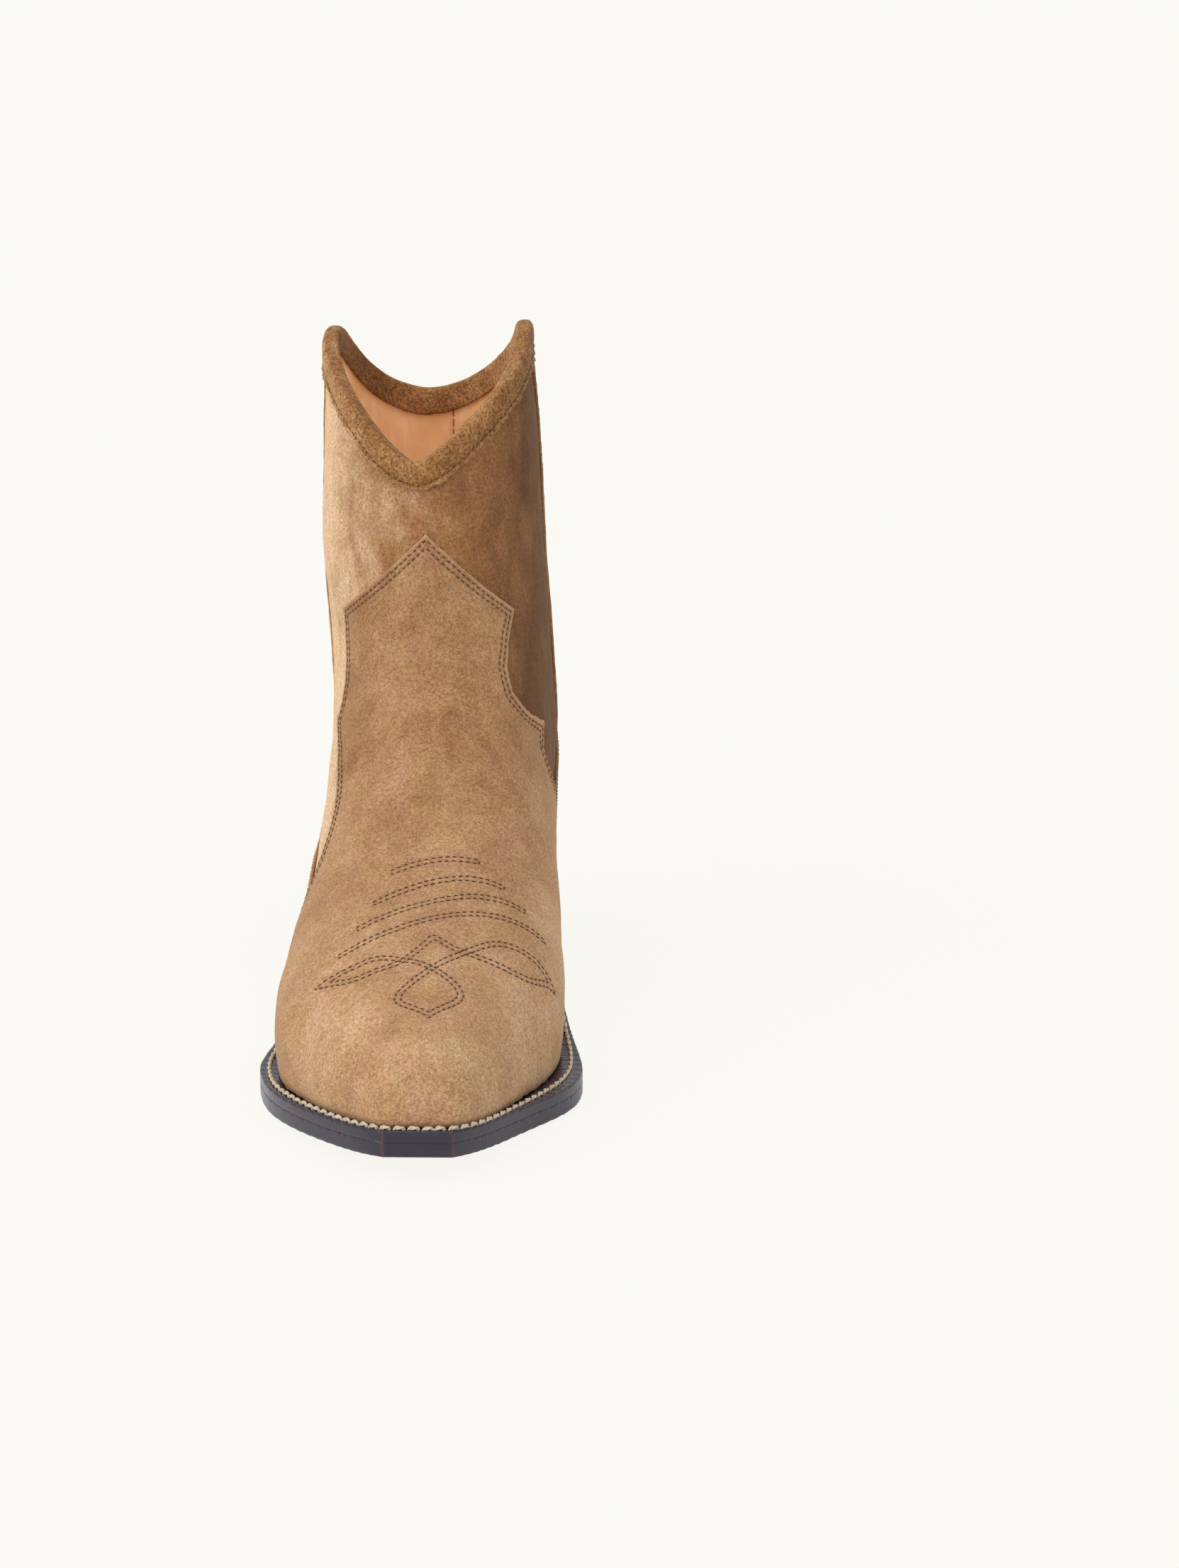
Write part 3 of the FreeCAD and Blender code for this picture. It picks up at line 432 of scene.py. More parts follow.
def suede(name, deep, base, pale, nap_and_painted_light_weight, patch_size, speckle, tall_shade=0.0, sheen=0.3):
    """Brushed suede: faces turned one way paler and faces turned the other way deeper, partly the nap's lie
    and partly painted light and shade; soft patches, coarse speckle and a sheen.
    """
    look = Finish(name)
    patches = look.noise(patch_size, detail=4.0, rough=0.55)
    brushed = look.noise(6 * MM, detail=3.0, place=look.stretch(1.0, 1.0, 0.5))
    nap = look.noise(1.0 * MM, detail=2.0, rough=0.8)
    fibre = look.noise(0.55 * MM, detail=2.0, rough=0.6)
    warmth = look.noise(11 * MM, detail=3.0, rough=0.6)
    # Painted light and shade, partly the nap's lie: the tone goes paler on faces turned to -X and deeper on
    # faces turned to +X, by the cube of the normal's X; a weight below zero turns it round.
    sideways = look.facing()["X"]
    cubed = look.calc("MULTIPLY", sideways, look.calc("MULTIPLY", sideways, sideways))
    lean = look.calc("MULTIPLY", cubed, -nap_and_painted_light_weight)
    shade = look.calc("ADD", look.span(patches, 0.25, 0.75, 0.29, 0.71), lean)
    shade = look.calc("ADD", shade, look.span(brushed, 0.3, 0.7, -0.09, 0.09))
    height = look.split(look.place)["Z"]
    shade = look.calc("ADD", shade, look.span(height, 40 * MM, 85 * MM, 0.0, -tall_shade))
    colour = look.mix(look.span(shade, 0.0, 0.5), deep, base)
    colour = look.mix(look.span(shade, 0.5, 1.0), colour, pale)
    cast = look.mix(look.span(warmth, 0.36, 0.64), (1.03, 0.98, 1.05, 1.0), (1.0, 1.0, 0.92, 1.0))
    colour = look.mix(1.0, colour, cast, "MULTIPLY")
    grain = look.calc("ADD", look.span(nap, 0.36, 0.64, 1.0 - speckle, 1.0 + speckle),
                      look.span(fibre, 0.36, 0.64, -0.16, 0.16))
    colour = look.mix(1.0, colour, look.grey(grain), "MULTIPLY")
    colour = look.mix(look.calc("MULTIPLY", look.kept("raw_edge"), 0.4), colour, tone(206, 170, 132))
    # Painted shade: the suede darkens along the stitch grooves.
    colour = look.mix(look.calc("MULTIPLY", look.kept("groove"), 0.2), colour, tone(104, 68, 42))
    # Darker within a few millimetres of the welt.
    colour = look.mix(look.calc("MULTIPLY", look.kept("near_welt_dark"), 0.7), colour, tone(96, 68, 46))
    pile = look.relief(fibre, 0.12 * MM, look.relief(nap, 0.3 * MM, look.relief(brushed, 0.3 * MM)))
    look.set(Base_Color=colour, Roughness=0.93, Specular_IOR_Level=0.12, Normal=pile)
    look.set(Sheen_Weight=sheen, Sheen_Roughness=0.45, Sheen_Tint=tone(236, 208, 176))
    return look.material


def lining_leather(name, deep, base, pale):
    """Smooth calf lining: fine pores, soft creases, a low shine and a faint painted glow in place of light
    inside the leg.
    """
    look = Finish(name)
    clouds = look.noise(22 * MM, detail=3.0)
    pores = look.cells(0.7 * MM)
    creases = look.noise(5 * MM, detail=4.0, rough=0.6, place=look.stretch(1.0, 1.0, 0.3))
    colour = look.mix(look.span(clouds, 0.3, 0.7), deep, base)
    colour = look.mix(look.span(creases, 0.5, 0.75, 0.0, 0.6), colour, pale)
    height = look.relief(pores, 0.05 * MM, look.relief(creases, 0.8 * MM))
    look.set(Base_Color=colour, Roughness=look.span(clouds, 0.3, 0.7, 0.45, 0.6), Normal=height)
    # Painted light: the lining glows in its own colour.
    look.set(Specular_IOR_Level=0.35, Emission_Color=colour, Emission_Strength=LINING_PAINTED_GLOW)
    return look.material


def polished_edge(name, dark, worn, rub):
    """Dyed and burnished leather edge: flat layers, a wax shine and colour rubbed off at the corners."""
    look = Finish(name)
    layers = look.noise(6 * MM, detail=4.0, rough=0.65, place=look.stretch(0.12, 0.12, 9.0))
    scuffs = look.noise(3 * MM, detail=4.0, rough=0.7)
    underside = look.span(look.facing()["Z"], -0.3, -0.75)
    worn_off = look.calc("MAXIMUM", look.kept("rubbed"), underside)
    colour = look.mix(look.span(layers, 0.4, 0.8, 0.0, 0.4), dark, worn)
    colour = look.mix(worn_off, colour, look.mix(look.span(scuffs, 0.35, 0.7), rub, worn))
    height = look.relief(layers, 0.04 * MM, look.relief(scuffs, 0.02 * MM))
    shine = look.calc("ADD", look.span(scuffs, 0.3, 0.7, 0.2, 0.32), look.calc("MULTIPLY", worn_off, 0.25))
    look.set(Base_Color=colour, Roughness=shine, Normal=height)
    look.set(Coat_Weight=0.5, Coat_Roughness=0.1, Coat_Tint=tone(222, 218, 246))
    return look.material


def bottom_leather(name, base, worn):
    """Tan sole leather seen from below, with fine pores and light scuffs."""
    look = Finish(name)
    scuffs = look.noise(7 * MM, detail=5.0, rough=0.7, place=look.stretch(1.0, 0.25, 1.0))
    pores = look.cells(0.9 * MM)
    colour = look.mix(look.span(scuffs, 0.35, 0.7), base, worn)
    height = look.relief(pores, 0.04 * MM, look.relief(scuffs, 0.1 * MM))
    look.set(Base_Color=colour, Roughness=look.span(scuffs, 0.3, 0.7, 0.35, 0.6), Normal=height)
    return look.material


def twine(name, base, dark, ply_size):
    """Waxed thread: fine fibres, darker between them."""
    look = Finish(name)
    fibres = look.noise(ply_size, detail=2.0)
    colour = look.mix(look.span(fibres, 0.35, 0.7), dark, base)
    look.set(Base_Color=colour, Roughness=0.6, Normal=look.relief(fibres, 0.08 * MM))
    return look.material


def heel_rubber(name):
    """Black top lift with a dull, finely pitted face."""
    look = Finish(name)
    pits = look.noise(0.8 * MM, detail=3.0)
    colour = look.mix(pits, tone(28, 26, 27), tone(48, 45, 45))
    look.set(Base_Color=colour, Roughness=0.65, Normal=look.relief(pits, 0.08 * MM))
    return look.material


def metal(name, base, rough):
    """Small fasteners with a turned, slightly uneven surface."""
    look = Finish(name)
    marks = look.noise(1.2 * MM, detail=3.0)
    look.set(Base_Color=base, Metallic=1.0, Roughness=look.span(marks, 0.3, 0.7, rough - 0.08, rough + 0.12))
    look.set(Normal=look.relief(marks, 0.03 * MM))
    return look.material


# The fifth number of each suede weighs its facing-dependent tone, partly the nap's lie and partly painted
# light and shade.
VAMP_SUEDE = suede("vamp_suede", tone(144, 104, 70), tone(180, 143, 107), tone(212, 182, 150),
                   -0.1, 24 * MM, 0.27, tall_shade=0.28, sheen=0.34)
SHAFT_SUEDE = suede("shaft_suede", tone(98, 65, 41), tone(150, 107, 71), tone(222, 190, 155),
                    0.57, 30 * MM, 0.25, sheen=0.2)
BINDING_SUEDE = suede("binding_suede_soft", tone(104, 70, 40), tone(146, 105, 65), tone(190, 151, 105),
                      0.3, 9 * MM, 0.5, sheen=0.25)
TAN_LINING = lining_leather("tan_lining", tone(226, 170, 116), tone(240, 192, 142), tone(248, 214, 176))
PALE_LINING = lining_leather("pale_lining", tone(196, 156, 128), tone(216, 180, 154), tone(228, 198, 174))
SOCK_LEATHER = lining_leather("sock_lining", tone(170, 118, 78), tone(192, 142, 100), tone(206, 160, 120))
SOLE_EDGE = polished_edge("sole_edge_polish", tone(33, 24, 41), tone(50, 38, 52), tone(126, 54, 38))
HEEL_EDGE = polished_edge("heel_polish", tone(34, 27, 27), tone(62, 46, 40), tone(104, 60, 42))
SOLE_BOTTOM = bottom_leather("sole_bottom", tone(150, 86, 58), tone(118, 66, 46))
SEAM_THREAD = twine("seam_thread", tone(98, 62, 40), tone(62, 37, 24), 0.3 * MM)
LINING_THREAD = twine("lining_thread", tone(178, 118, 68), tone(122, 74, 40), 0.3 * MM)
WELT_TWINE = twine("welt_twine", tone(232, 220, 198), tone(168, 150, 126), 0.35 * MM)
RUBBER = heel_rubber("top_lift_rubber")
BRASS = metal("brad_brass", tone(196, 152, 82), 0.35)
STEEL = metal("nail_steel_finish", tone(168, 166, 162), 0.4)


# ------------------------------------------------------------------------- pieces from nodes

def add_piece(name, mesh, finish, slot):
    """A new piece of the boot that rides on its one body."""
    mesh.materials.clear()
    mesh.materials.append(finish)
    piece = bpy.data.objects.new(name, mesh)
    SCENE.collection.objects.link(piece)
    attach(piece, "root")
    return piece


def slot_of(node):
    """The record's material slot of a CAD node."""
    return NODES[node].data.materials[0].name


def merged_mesh(node):
    """A copy of a node's mesh whose faces share their vertices."""
    mesh = NODES[node].data.copy()
    if "custom_normal" in mesh.attributes:
        mesh.attributes.remove(mesh.attributes["custom_normal"])
    work = bmesh.new()
    work.from_mesh(mesh)
    bmesh.ops.remove_doubles(work, verts=work.verts, dist=MERGE)
    work.to_mesh(mesh)
    work.free()
    return mesh


def even_mesh(node, voxel):
    """A node's solid as an even net of small faces, so that it can be shaped."""
    holder = bpy.data.objects.new("even_" + node, merged_mesh(node))
    SCENE.collection.objects.link(holder)
    remesh = holder.modifiers.new("even", "REMESH")
    remesh.mode = "VOXEL"
    remesh.voxel_size = voxel
    mesh = bpy.data.meshes.new_from_object(holder.evaluated_get(bpy.context.evaluated_depsgraph_get()))
    bpy.data.objects.remove(holder)
    mesh.shade_smooth()
    return mesh


def upright_corners(node):
    """Points up the sharp upright edges at the front of a node."""
    work = bmesh.new()
    work.from_mesh(merged_mesh(node))
    corners = []
    for edge in work.edges:
        one, two = (np.array(vertex.co) for vertex in edge.verts)
        upright = abs(unit((two - one)[None])[0, 2]) > 0.95
        if upright and edge.is_manifold and edge.calc_face_angle() > math.radians(20):
            corners.append(resample(np.array([one, two]), LINE_STEP))
    work.free()
    return np.vstack([corner for corner in corners if corner[0, 1] < TOE_FRONT + 10 * MM])


def soften(points, net, joined, rounds):
    """Points of a net with its edges rounded, except where it lies against another piece."""
    beside = fade(surface_distances(points, joined, JOINT_REACH), JOINT_REACH)
    return relax(points, net, rounds, 0.5 * (1 - beside))


def worn_piece(node, name, finish, joined):
    """A polished piece let into the one above, its colour rubbed off at the front corners and lower lip."""
    mesh = even_mesh(node, BAND_VOXEL)
    points = soften(read_points(mesh), read_edges(mesh), joined, 5)
    points[:, 2] += JOINT_OVERLAP * fade(surface_distances(points, joined, JOINT_REACH), JOINT_REACH)
    write_points(mesh, points)
    corners = fade(distances(points, line_tree(upright_corners(node))), CORNER_RUB)
    lip = fade(points[:, 2] - points[:, 2].min(), LIP_HEIGHT)
    store(mesh, "rubbed", 0.8 * np.maximum(corners, 0.6 * lip))
    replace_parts(add_piece(name, mesh, finish, slot_of(node)), node)


def firm_piece(node, name, finish, softening):
    """A rigid piece: the CAD solid with its sharp edges softened."""
    mesh = merged_mesh(node)
    work = bmesh.new()
    work.from_mesh(mesh)
    bmesh.ops.dissolve_limit(work, angle_limit=math.radians(0.3), verts=work.verts, edges=work.edges)
    sharp = [edge for edge in work.edges if edge.is_manifold and edge.calc_face_angle() > math.radians(35)]
    bmesh.ops.bevel(work, geom=sharp, offset=softening, segments=3, profile=0.6, affect="EDGES",
                    clamp_overlap=True)
    work.to_mesh(mesh)
    work.free()
    mesh.shade_smooth()
    mesh.set_sharp_from_angle(angle=math.radians(40))
    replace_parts(add_piece(name, mesh, finish, slot_of(node)), node)


# -------------------------------------------------------------------------- lines on surfaces

def resample(points, step, closed=False):
    """Points at even steps along a line."""
    if closed:
        points = np.vstack([points, points[:1]])
    lengths = np.r_[0, np.cumsum(np.linalg.norm(np.diff(points, axis=0), axis=1))]
    count = max(2, int(round(lengths[-1] / step)) + 1)
    places = np.linspace(0, lengths[-1], count)
    if closed:
        places = places[:-1]
    return np.column_stack([np.interp(places, lengths, points[:, axis]) for axis in range(points.shape[1])])


def soften_line(points, rounds, closed=False):
    """A line with its small kinks evened out."""
    for _ in range(rounds):
        before = np.roll(points, 1, axis=0)
        after = np.roll(points, -1, axis=0)
        moved = points * 0.5 + (before + after) * 0.25
        if not closed:
            moved[0], moved[-1] = points[0], points[-1]
        points = moved
    return points


def skin_sheet(node, side=1):
    """A panel's outward face (side 1) or inward face (side -1); each CAD face is an island of its mesh."""
    sheet = bmesh.new()
    sheet.from_mesh(NODES[node].data)
    unvisited = set(sheet.faces)
    dropped = []
    while unvisited:
        island = [unvisited.pop()]
        for face in island:
            for edge in face.edges:
                for other in edge.link_faces:
                    if other in unvisited:
                        unvisited.discard(other)
                        island.append(other)
        areas = np.array([face.calc_area() for face in island])
        middles = np.array([face.calc_center_median() for face in island])
        normals = np.array([face.normal for face in island])
        lean = np.sum(normals * outward(middles), axis=1) @ areas / areas.sum()
        if lean * side < 0.6 or areas.sum() < SMALLEST_SKIN:
            dropped += island
    bmesh.ops.delete(sheet, geom=dropped, context="FACES")
    bmesh.ops.remove_doubles(sheet, verts=sheet.verts, dist=MERGE)
    return sheet


def sheet_tree(node, side=1):
    """A search tree over one side of a panel."""
    sheet = skin_sheet(node, side)
    tree = BVHTree.FromBMesh(sheet)
    sheet.free()
    return tree


def sheet_rim(node, side=1):
    """The border of one side of a panel as a closed line."""
    sheet = skin_sheet(node, side)
    neighbours = {}
    for edge in sheet.edges:
        if len(edge.link_faces) == 1:
            one, two = edge.verts
            neighbours.setdefault(one, []).append(two)
            neighbours.setdefault(two, []).append(one)
    longest = []
    while neighbours:
        chain = [next(iter(neighbours))]
        while neighbours.get(chain[-1]):
            following = neighbours[chain[-1]].pop()
            neighbours[following].remove(chain[-1])
            chain.append(following)
        for vertex in chain:
            if not neighbours.get(vertex, True):
                del neighbours[vertex]
        if len(chain) > len(longest):
            longest = chain
    rim = np.array([vertex.co[:] for vertex in longest])
    sheet.free()
    return resample(rim, LINE_STEP)


def longest_run(line, wanted):
    """The longest stretch of a closed line whose points are all wanted."""
    best, run = [], []
    for index in list(range(len(line))) * 2:
        if wanted[index] and len(run) < len(line):
            run.append(index)
        else:
            run = []
        if len(run) > len(best):
            best = list(run)
    return line[best]


def parallel(line, tree, distance, closed=False):
    """A line on a surface, moved sideways along it, with corners mitred and no loops inside them."""
    _, normals = on_surface(line, tree)
    ahead = np.roll(line, -1, axis=0) - line
    behind = line - np.roll(line, 1, axis=0)
    if not closed:
        ahead[-1] = behind[-1]
        behind[0] = ahead[0]
    side_ahead = unit(np.cross(normals, ahead))
    side_behind = unit(np.cross(normals, behind))
    side = unit(side_ahead + side_behind)
    mitre = 1 / np.clip(np.sum(side * side_behind, axis=1), 0.4, 1)
    moved = line + side * (distance * mitre)[:, None]
    window = int(12 * MM / LINE_STEP)
    nearest = np.full(len(line), np.inf)
    for shift in range(-window, window + 1):
        other = np.arange(len(line)) + shift
        other = other % len(line) if closed else np.clip(other, 0, len(line) - 1)
        nearest = np.minimum(nearest, np.linalg.norm(moved - line[other], axis=1))
    kept = moved[nearest > abs(distance) * 0.96]
    return on_surface(resample(kept, LINE_STEP, closed), tree)[0]


def inner_side(line, tree):
    """1 or -1: the sign of the sideways move that keeps a border line on its panel."""
    errors = []
    for sign in (1, -1):
        _, normals = on_surface(line, tree)
        ahead = np.gradient(line, axis=0)
        moved = line + unit(np.cross(normals, ahead)) * sign * 2 * MM
        errors.append(np.median(np.linalg.norm(on_surface(moved, tree)[0] - moved, axis=1)))
    return 1 if errors[0] < errors[1] else -1


def edge_rows(node):
    """Rows of stitching that follow a panel's border wherever it isn't on the welt."""
    tree = sheet_tree(node)
    rim = sheet_rim(node)
    rim = soften_line(longest_run(rim, surface_distances(rim, WELT_TREE, CLEAR_OF_WELT) >= CLEAR_OF_WELT), 4)
    sign = inner_side(rim, tree)
    return [parallel(rim, tree, sign * distance) for distance in EDGE_ROWS]


# --------------------------------------------------------------------------------- stitching

def tube_net(centres, radii, ups, sides):
    """Vertices and faces of many short tubes; centres is tubes x rings x 3."""
    tubes, rings, _ = centres.shape
    along = np.gradient(centres, axis=1)
    along /= np.linalg.norm(along, axis=2, keepdims=True)
    across = np.cross(along, ups)
    across /= np.maximum(np.linalg.norm(across, axis=2, keepdims=True), 1e-12)
    over = np.cross(across, along)
    angles = np.arange(sides) * 2 * math.pi / sides
    spokes = (across[:, :, None, :] * np.cos(angles)[None, None, :, None]
              + over[:, :, None, :] * np.sin(angles)[None, None, :, None])
    points = centres[:, :, None, :] + spokes * radii[None, :, None, None]
    base = np.arange(tubes)[:, None, None] * rings * sides
    ring = np.arange(rings - 1)[None, :, None] * sides
    here = np.arange(sides)[None, None, :]
    following = (here + 1) % sides
    quads = np.stack([base + ring + here, base + ring + following,
                      base + ring + sides + following, base + ring + sides + here], axis=-1).reshape(-1, 4)
    first_caps = (base[:, :, 0] + np.arange(sides)[None, ::-1])
    last_caps = (base[:, :, 0] + (rings - 1) * sides + np.arange(sides)[None, :])
    faces = quads.tolist() + first_caps.tolist() + last_caps.tolist()
    return points.reshape(-1, 3), faces


def thread_piece(name, centres, ups, radii, sides, finish):
    """One piece made of many short lengths of thread."""
    points, faces = tube_net(centres, radii, ups, sides)
    mesh = bpy.data.meshes.new(name)
    mesh.from_pydata(points.tolist(), [], faces)
    mesh.shade_smooth()
    return add_piece(name, mesh, finish, "thread")


def stitch_starts(line, pitch, closed):
    """Distance to each point of a line, the start of each stitch along it, and the line itself."""
    if closed:
        line = np.vstack([line, line[:1]])
    lengths = np.r_[0, np.cumsum(np.linalg.norm(np.diff(line, axis=0), axis=1))]
    count = max(1, int(round(lengths[-1] / pitch)))
    starts = np.arange(count) * lengths[-1] / count
    return lengths, starts, line


STITCH_SHARES = np.array([0.0, 0.22, 0.5, 0.78, 1.0])
STITCH_HEIGHTS = np.array([-1.0, 0.2, 0.45, 0.2, -1.0])
STITCH_GIRTH = np.array([0.6, 0.95, 1.0, 0.95, 0.6])


def stitches(name, lines, tree, closed, radius=THREAD_RADIUS):
    """Thread along lines on a surface: each stitch rises out of the leather and dips back in."""
    centres, ups = [], []
    for line in lines:
        lengths, starts, line = stitch_starts(line, STITCH_PITCH, closed)
        places = (starts[:, None] + STITCH_SHARES[None, :] * STITCH_LENGTH).ravel()
        spots = np.column_stack([np.interp(places, lengths, line[:, axis]) for axis in range(3)])
        spots, normals = on_surface(spots, tree)
        lift = np.tile(STITCH_HEIGHTS, len(starts)) * radius
        centres.append((spots + normals * lift[:, None]).reshape(len(starts), -1, 3))
        ups.append(normals.reshape(len(starts), -1, 3))
    thread_piece(name, np.vstack(centres), np.vstack(ups), STITCH_GIRTH * radius, 6, SEAM_THREAD)


def arc_through(first, middle, last):
    """Points of the circular arc through three plan points, in metres."""
    one, two, three = (np.array(point) * MM for point in (first, middle, last))
    chord, bow = two - one, three - one
    twice_area = 2 * (chord[0] * bow[1] - chord[1] * bow[0])
    offset = np.array([
        bow[1] * (chord @ chord) - chord[1] * (bow @ bow),
        chord[0] * (bow @ bow) - bow[0] * (chord @ chord)]) / twice_area
    centre = one + offset
    radius = np.linalg.norm(offset)
    turns = np.unwrap([math.atan2(*(point - centre)[::-1]) for point in (one, two, three)])
    angles = np.interp(np.linspace(0, 2, 61), [0, 1, 2], turns)
    return centre + radius * np.column_stack([np.cos(angles), np.sin(angles)])


def curve_through(knots):
    """Points of a smooth curve through plan points, in metres."""
    knots = np.array(knots) * MM
    padded = np.vstack([2 * knots[0] - knots[1], knots, 2 * knots[-1] - knots[-2]])
    result = []
    for before, start, end, after in zip(padded, padded[1:], padded[2:], padded[3:]):
        for share in np.linspace(0, 1, 24, endpoint=False):
            result.append(0.5 * (2 * start + (end - before) * share
                                 + (2 * before - 5 * start + 4 * end - after) * share ** 2
                                 + (3 * start - before - 3 * end + after) * share ** 3))
    return np.vstack([result, knots[-1:]])


def dropped_on(plan, tree):
    """Plan points let down onto the top of a surface."""
    down = Vector((0, 0, -1))
    hits = [tree.ray_cast(Vector((x, y, BOOT_HEIGHT)), down)[0] for x, y in plan]
    return np.array([hit for hit in hits if hit is not None])


def double_row(centre_line, tree, closed):
    """Two lines beside a centre line; an open one is closed round its ends."""
    line = resample(centre_line, LINE_STEP, closed)
    one = parallel(line, tree, TOE_ROW_HALF, closed)
    two = parallel(line, tree, -TOE_ROW_HALF, closed)
    if closed:
        return [one, two]
    return [resample(np.vstack([one, two[::-1]]), LINE_STEP, True)]


def toe_lines(tree):
    """All lines of the toe stitching, each closed on itself."""
    lines = []
    for row in WRINKLE_ROWS:
        lines += double_row(dropped_on(arc_through(*row), tree), tree, False)
    knot = np.vstack([curve_through(arm)[:-1] for arm in KNOT_ARMS])
    lines += double_row(dropped_on(knot, tree), tree, True)
    return lines


# ------------------------------------------------------------------------------- suede panels

def suede_panel(node, name, finish, grooves=(), voxel=PANEL_VOXEL, sink=0.0):
    """A suede panel: gently uneven, with a wavy raw edge and its seams pulled into the nap."""
    mesh = even_mesh(node, voxel)
    points = read_points(mesh)
    points = relax(points, read_edges(mesh), 2, np.full(len(points), 0.5))
    write_points(mesh, points)
    normals = read_normals(mesh)
    outside = np.clip(np.sum(normals * outward(points), axis=1) * 2.5, 0, 1)
    edge = fade(distances(points, line_tree(sheet_rim(node))), RAW_EDGE_WIDTH)
    groove = np.zeros(len(points))
    if len(grooves):
        groove = fade(distances(points, line_tree(np.vstack(grooves))), GROOVE_HALF_WIDTH) * outside
    # The suede is darkened towards the welt.
    low = points[:, 2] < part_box("welt")[1].z + NEAR_WELT_DARK_HEIGHT
    near_welt_dark = np.zeros(len(points))
    near_welt_dark[low] = fade(surface_distances(points[low], WELT_TREE, NEAR_WELT_DARK_HEIGHT), NEAR_WELT_DARK_HEIGHT)
    lift = SUEDE_WAVE * waves(points, 30 * MM, 3) + 0.2 * SUEDE_WAVE * waves(points, 7 * MM, 4)
    lift = lift * outside * (1 - edge) - GROOVE_DEPTH * groove
    wobble = np.column_stack([waves(points, 4 * MM, seed) for seed in (5, 6, 7)])
    points = points + normals * lift[:, None] + wobble * (EDGE_WOBBLE * edge)[:, None]
    write_points(mesh, points - outward(points) * sink)
    store(mesh, "raw_edge", edge * outside)
    # The groove mask also darkens the finish: painted shade along the seams.
    store(mesh, "groove", groove)
    store(mesh, "near_welt_dark", near_welt_dark)
    piece = add_piece(name, mesh, finish, slot_of(node))
    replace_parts(piece, node)
    return piece


def binding_edges(node, seam_plane):
    """A binding's raw lower edge, outside and inside, and the line sewn just above each."""
    edges, seams = [], []
    for side in (1, -1):
        rim = sheet_rim(node, side)
        low = below_top_line(rim) > BINDING_MIDDLE
        between_ends = np.abs(rim[:, 1] - seam_plane) > LINE_STEP
        edge = longest_run(rim, low & between_ends)
        tree = sheet_tree(node, side)
        edges.append(edge)
        seams.append(parallel(edge, tree, inner_side(edge, tree) * BINDING_SEAM_RISE))
    return edges, seams


def binding_panel(node, name, edges, seams):
    """A folded strip over the top line: softly round above its seam, flat and raw below it."""
    mesh = even_mesh(node, BAND_VOXEL)
    net = read_edges(mesh)
    points = read_points(mesh)
    points = relax(points, net, 2, np.full(len(points), 0.5))
    points = rounded_top(points)
    points = relax(points, net, 8, 0.5 * fade(below_top_line(points), 4.0 * MM))
    write_points(mesh, points)
    normals = read_normals(mesh)
    flat_face = np.clip(np.abs(np.sum(normals * outward(points), axis=1)) * 2, 0, 1)
    height = distances(points, line_tree(np.vstack(edges)))
    full = np.sin(math.pi * np.clip((height - BINDING_SEAM_RISE) / BINDING_FULL_WIDTH, 0, 1))
    groove = fade(distances(points, line_tree(np.vstack(seams))), GROOVE_HALF_WIDTH)
    raw = fade(height, RAW_EDGE_WIDTH)
    lift = flat_face * (BINDING_BULGE * full + 0.5 * SUEDE_WAVE * waves(points, 12 * MM, 11))
    lift += HEM_LIFT * flat_face * fade(height, BINDING_SEAM_RISE) - 1.2 * GROOVE_DEPTH * groove
    wobble = np.column_stack([waves(points, 2.6 * MM, seed) for seed in (12, 13, 14)])
    points = points + normals * lift[:, None] + wobble * (2 * EDGE_WOBBLE * raw)[:, None]
    points[:, 2] += HEM_WAVE * waves(points, 9 * MM, 15) * fade(height, BINDING_SEAM_RISE)
    write_points(mesh, points)
    store(mesh, "raw_edge", raw)
    # The groove mask also darkens the finish: painted shade along the seam.
    store(mesh, "groove", groove)
    piece = add_piece(name, mesh, BINDING_SUEDE, slot_of(node))
    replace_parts(piece, node)
    return piece


WELT_TREE = surface_tree(NODES["welt"].data)


def build_upper():
    """Vamp, shaft and counter panels with their stitching."""
    vamp_cad = surface_tree(NODES["vamp"].data)
    vamp_edge_lines = edge_rows("vamp")
    counter_edge_lines = edge_rows("counter_cover")
    decoration = toe_lines(vamp_cad)
    vamp = suede_panel("vamp", "vamp_panel", VAMP_SUEDE, vamp_edge_lines + decoration)
    counter = suede_panel("counter_cover", "counter_panel", SHAFT_SUEDE, counter_edge_lines)
    suede_panel("front_shaft", "front_shaft_panel", SHAFT_SUEDE)
    suede_panel("back_shaft", "back_shaft_panel", SHAFT_SUEDE)
    for side in ("inner", "outer"):
        suede_panel("side_piping_" + side, "side_strip_" + side, SHAFT_SUEDE,
                    voxel=BAND_VOXEL, sink=STRIP_SINK)
    vamp_tree = surface_tree(vamp.data)
    counter_tree = surface_tree(counter.data)
    stitches("vamp_edge_stitching", vamp_edge_lines, vamp_tree, False)
    stitches("toe_stitching", decoration, vamp_tree, True)
    stitches("counter_edge_stitching", counter_edge_lines, counter_tree, False)


def build_bindings():
    """The two folded bindings and the seam along each, outside and inside."""
    planes = {"front_binding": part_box("front_binding")[1].y, "back_binding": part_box("back_binding")[0].y}
    for node, plane in planes.items():
        edges, seams = binding_edges(node, plane)
        piece = binding_panel(node, node + "_fold", edges, seams)
        stitches(node + "_stitching", seams, surface_tree(piece.data), False, radius=BINDING_THREAD_RADIUS)


# --------------------------------------------------------------------------- welt, sole, heel

def welt_seam_line():
    """Centre line of the welt's thread from one side of the heel round the toe to the other."""
    points = read_points(NODES["welt_thread"].data)
    low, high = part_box("welt_thread")
    middle = np.array([0.0, (low.y + high.y) / 2])
    turns = np.arctan2(points[:, 0] - middle[0], middle[1] - points[:, 1])
    order = np.argsort(turns)
    groups = np.array_split(points[order], 420)
    return resample(np.array([group.mean(axis=0) for group in groups]), LINE_STEP)


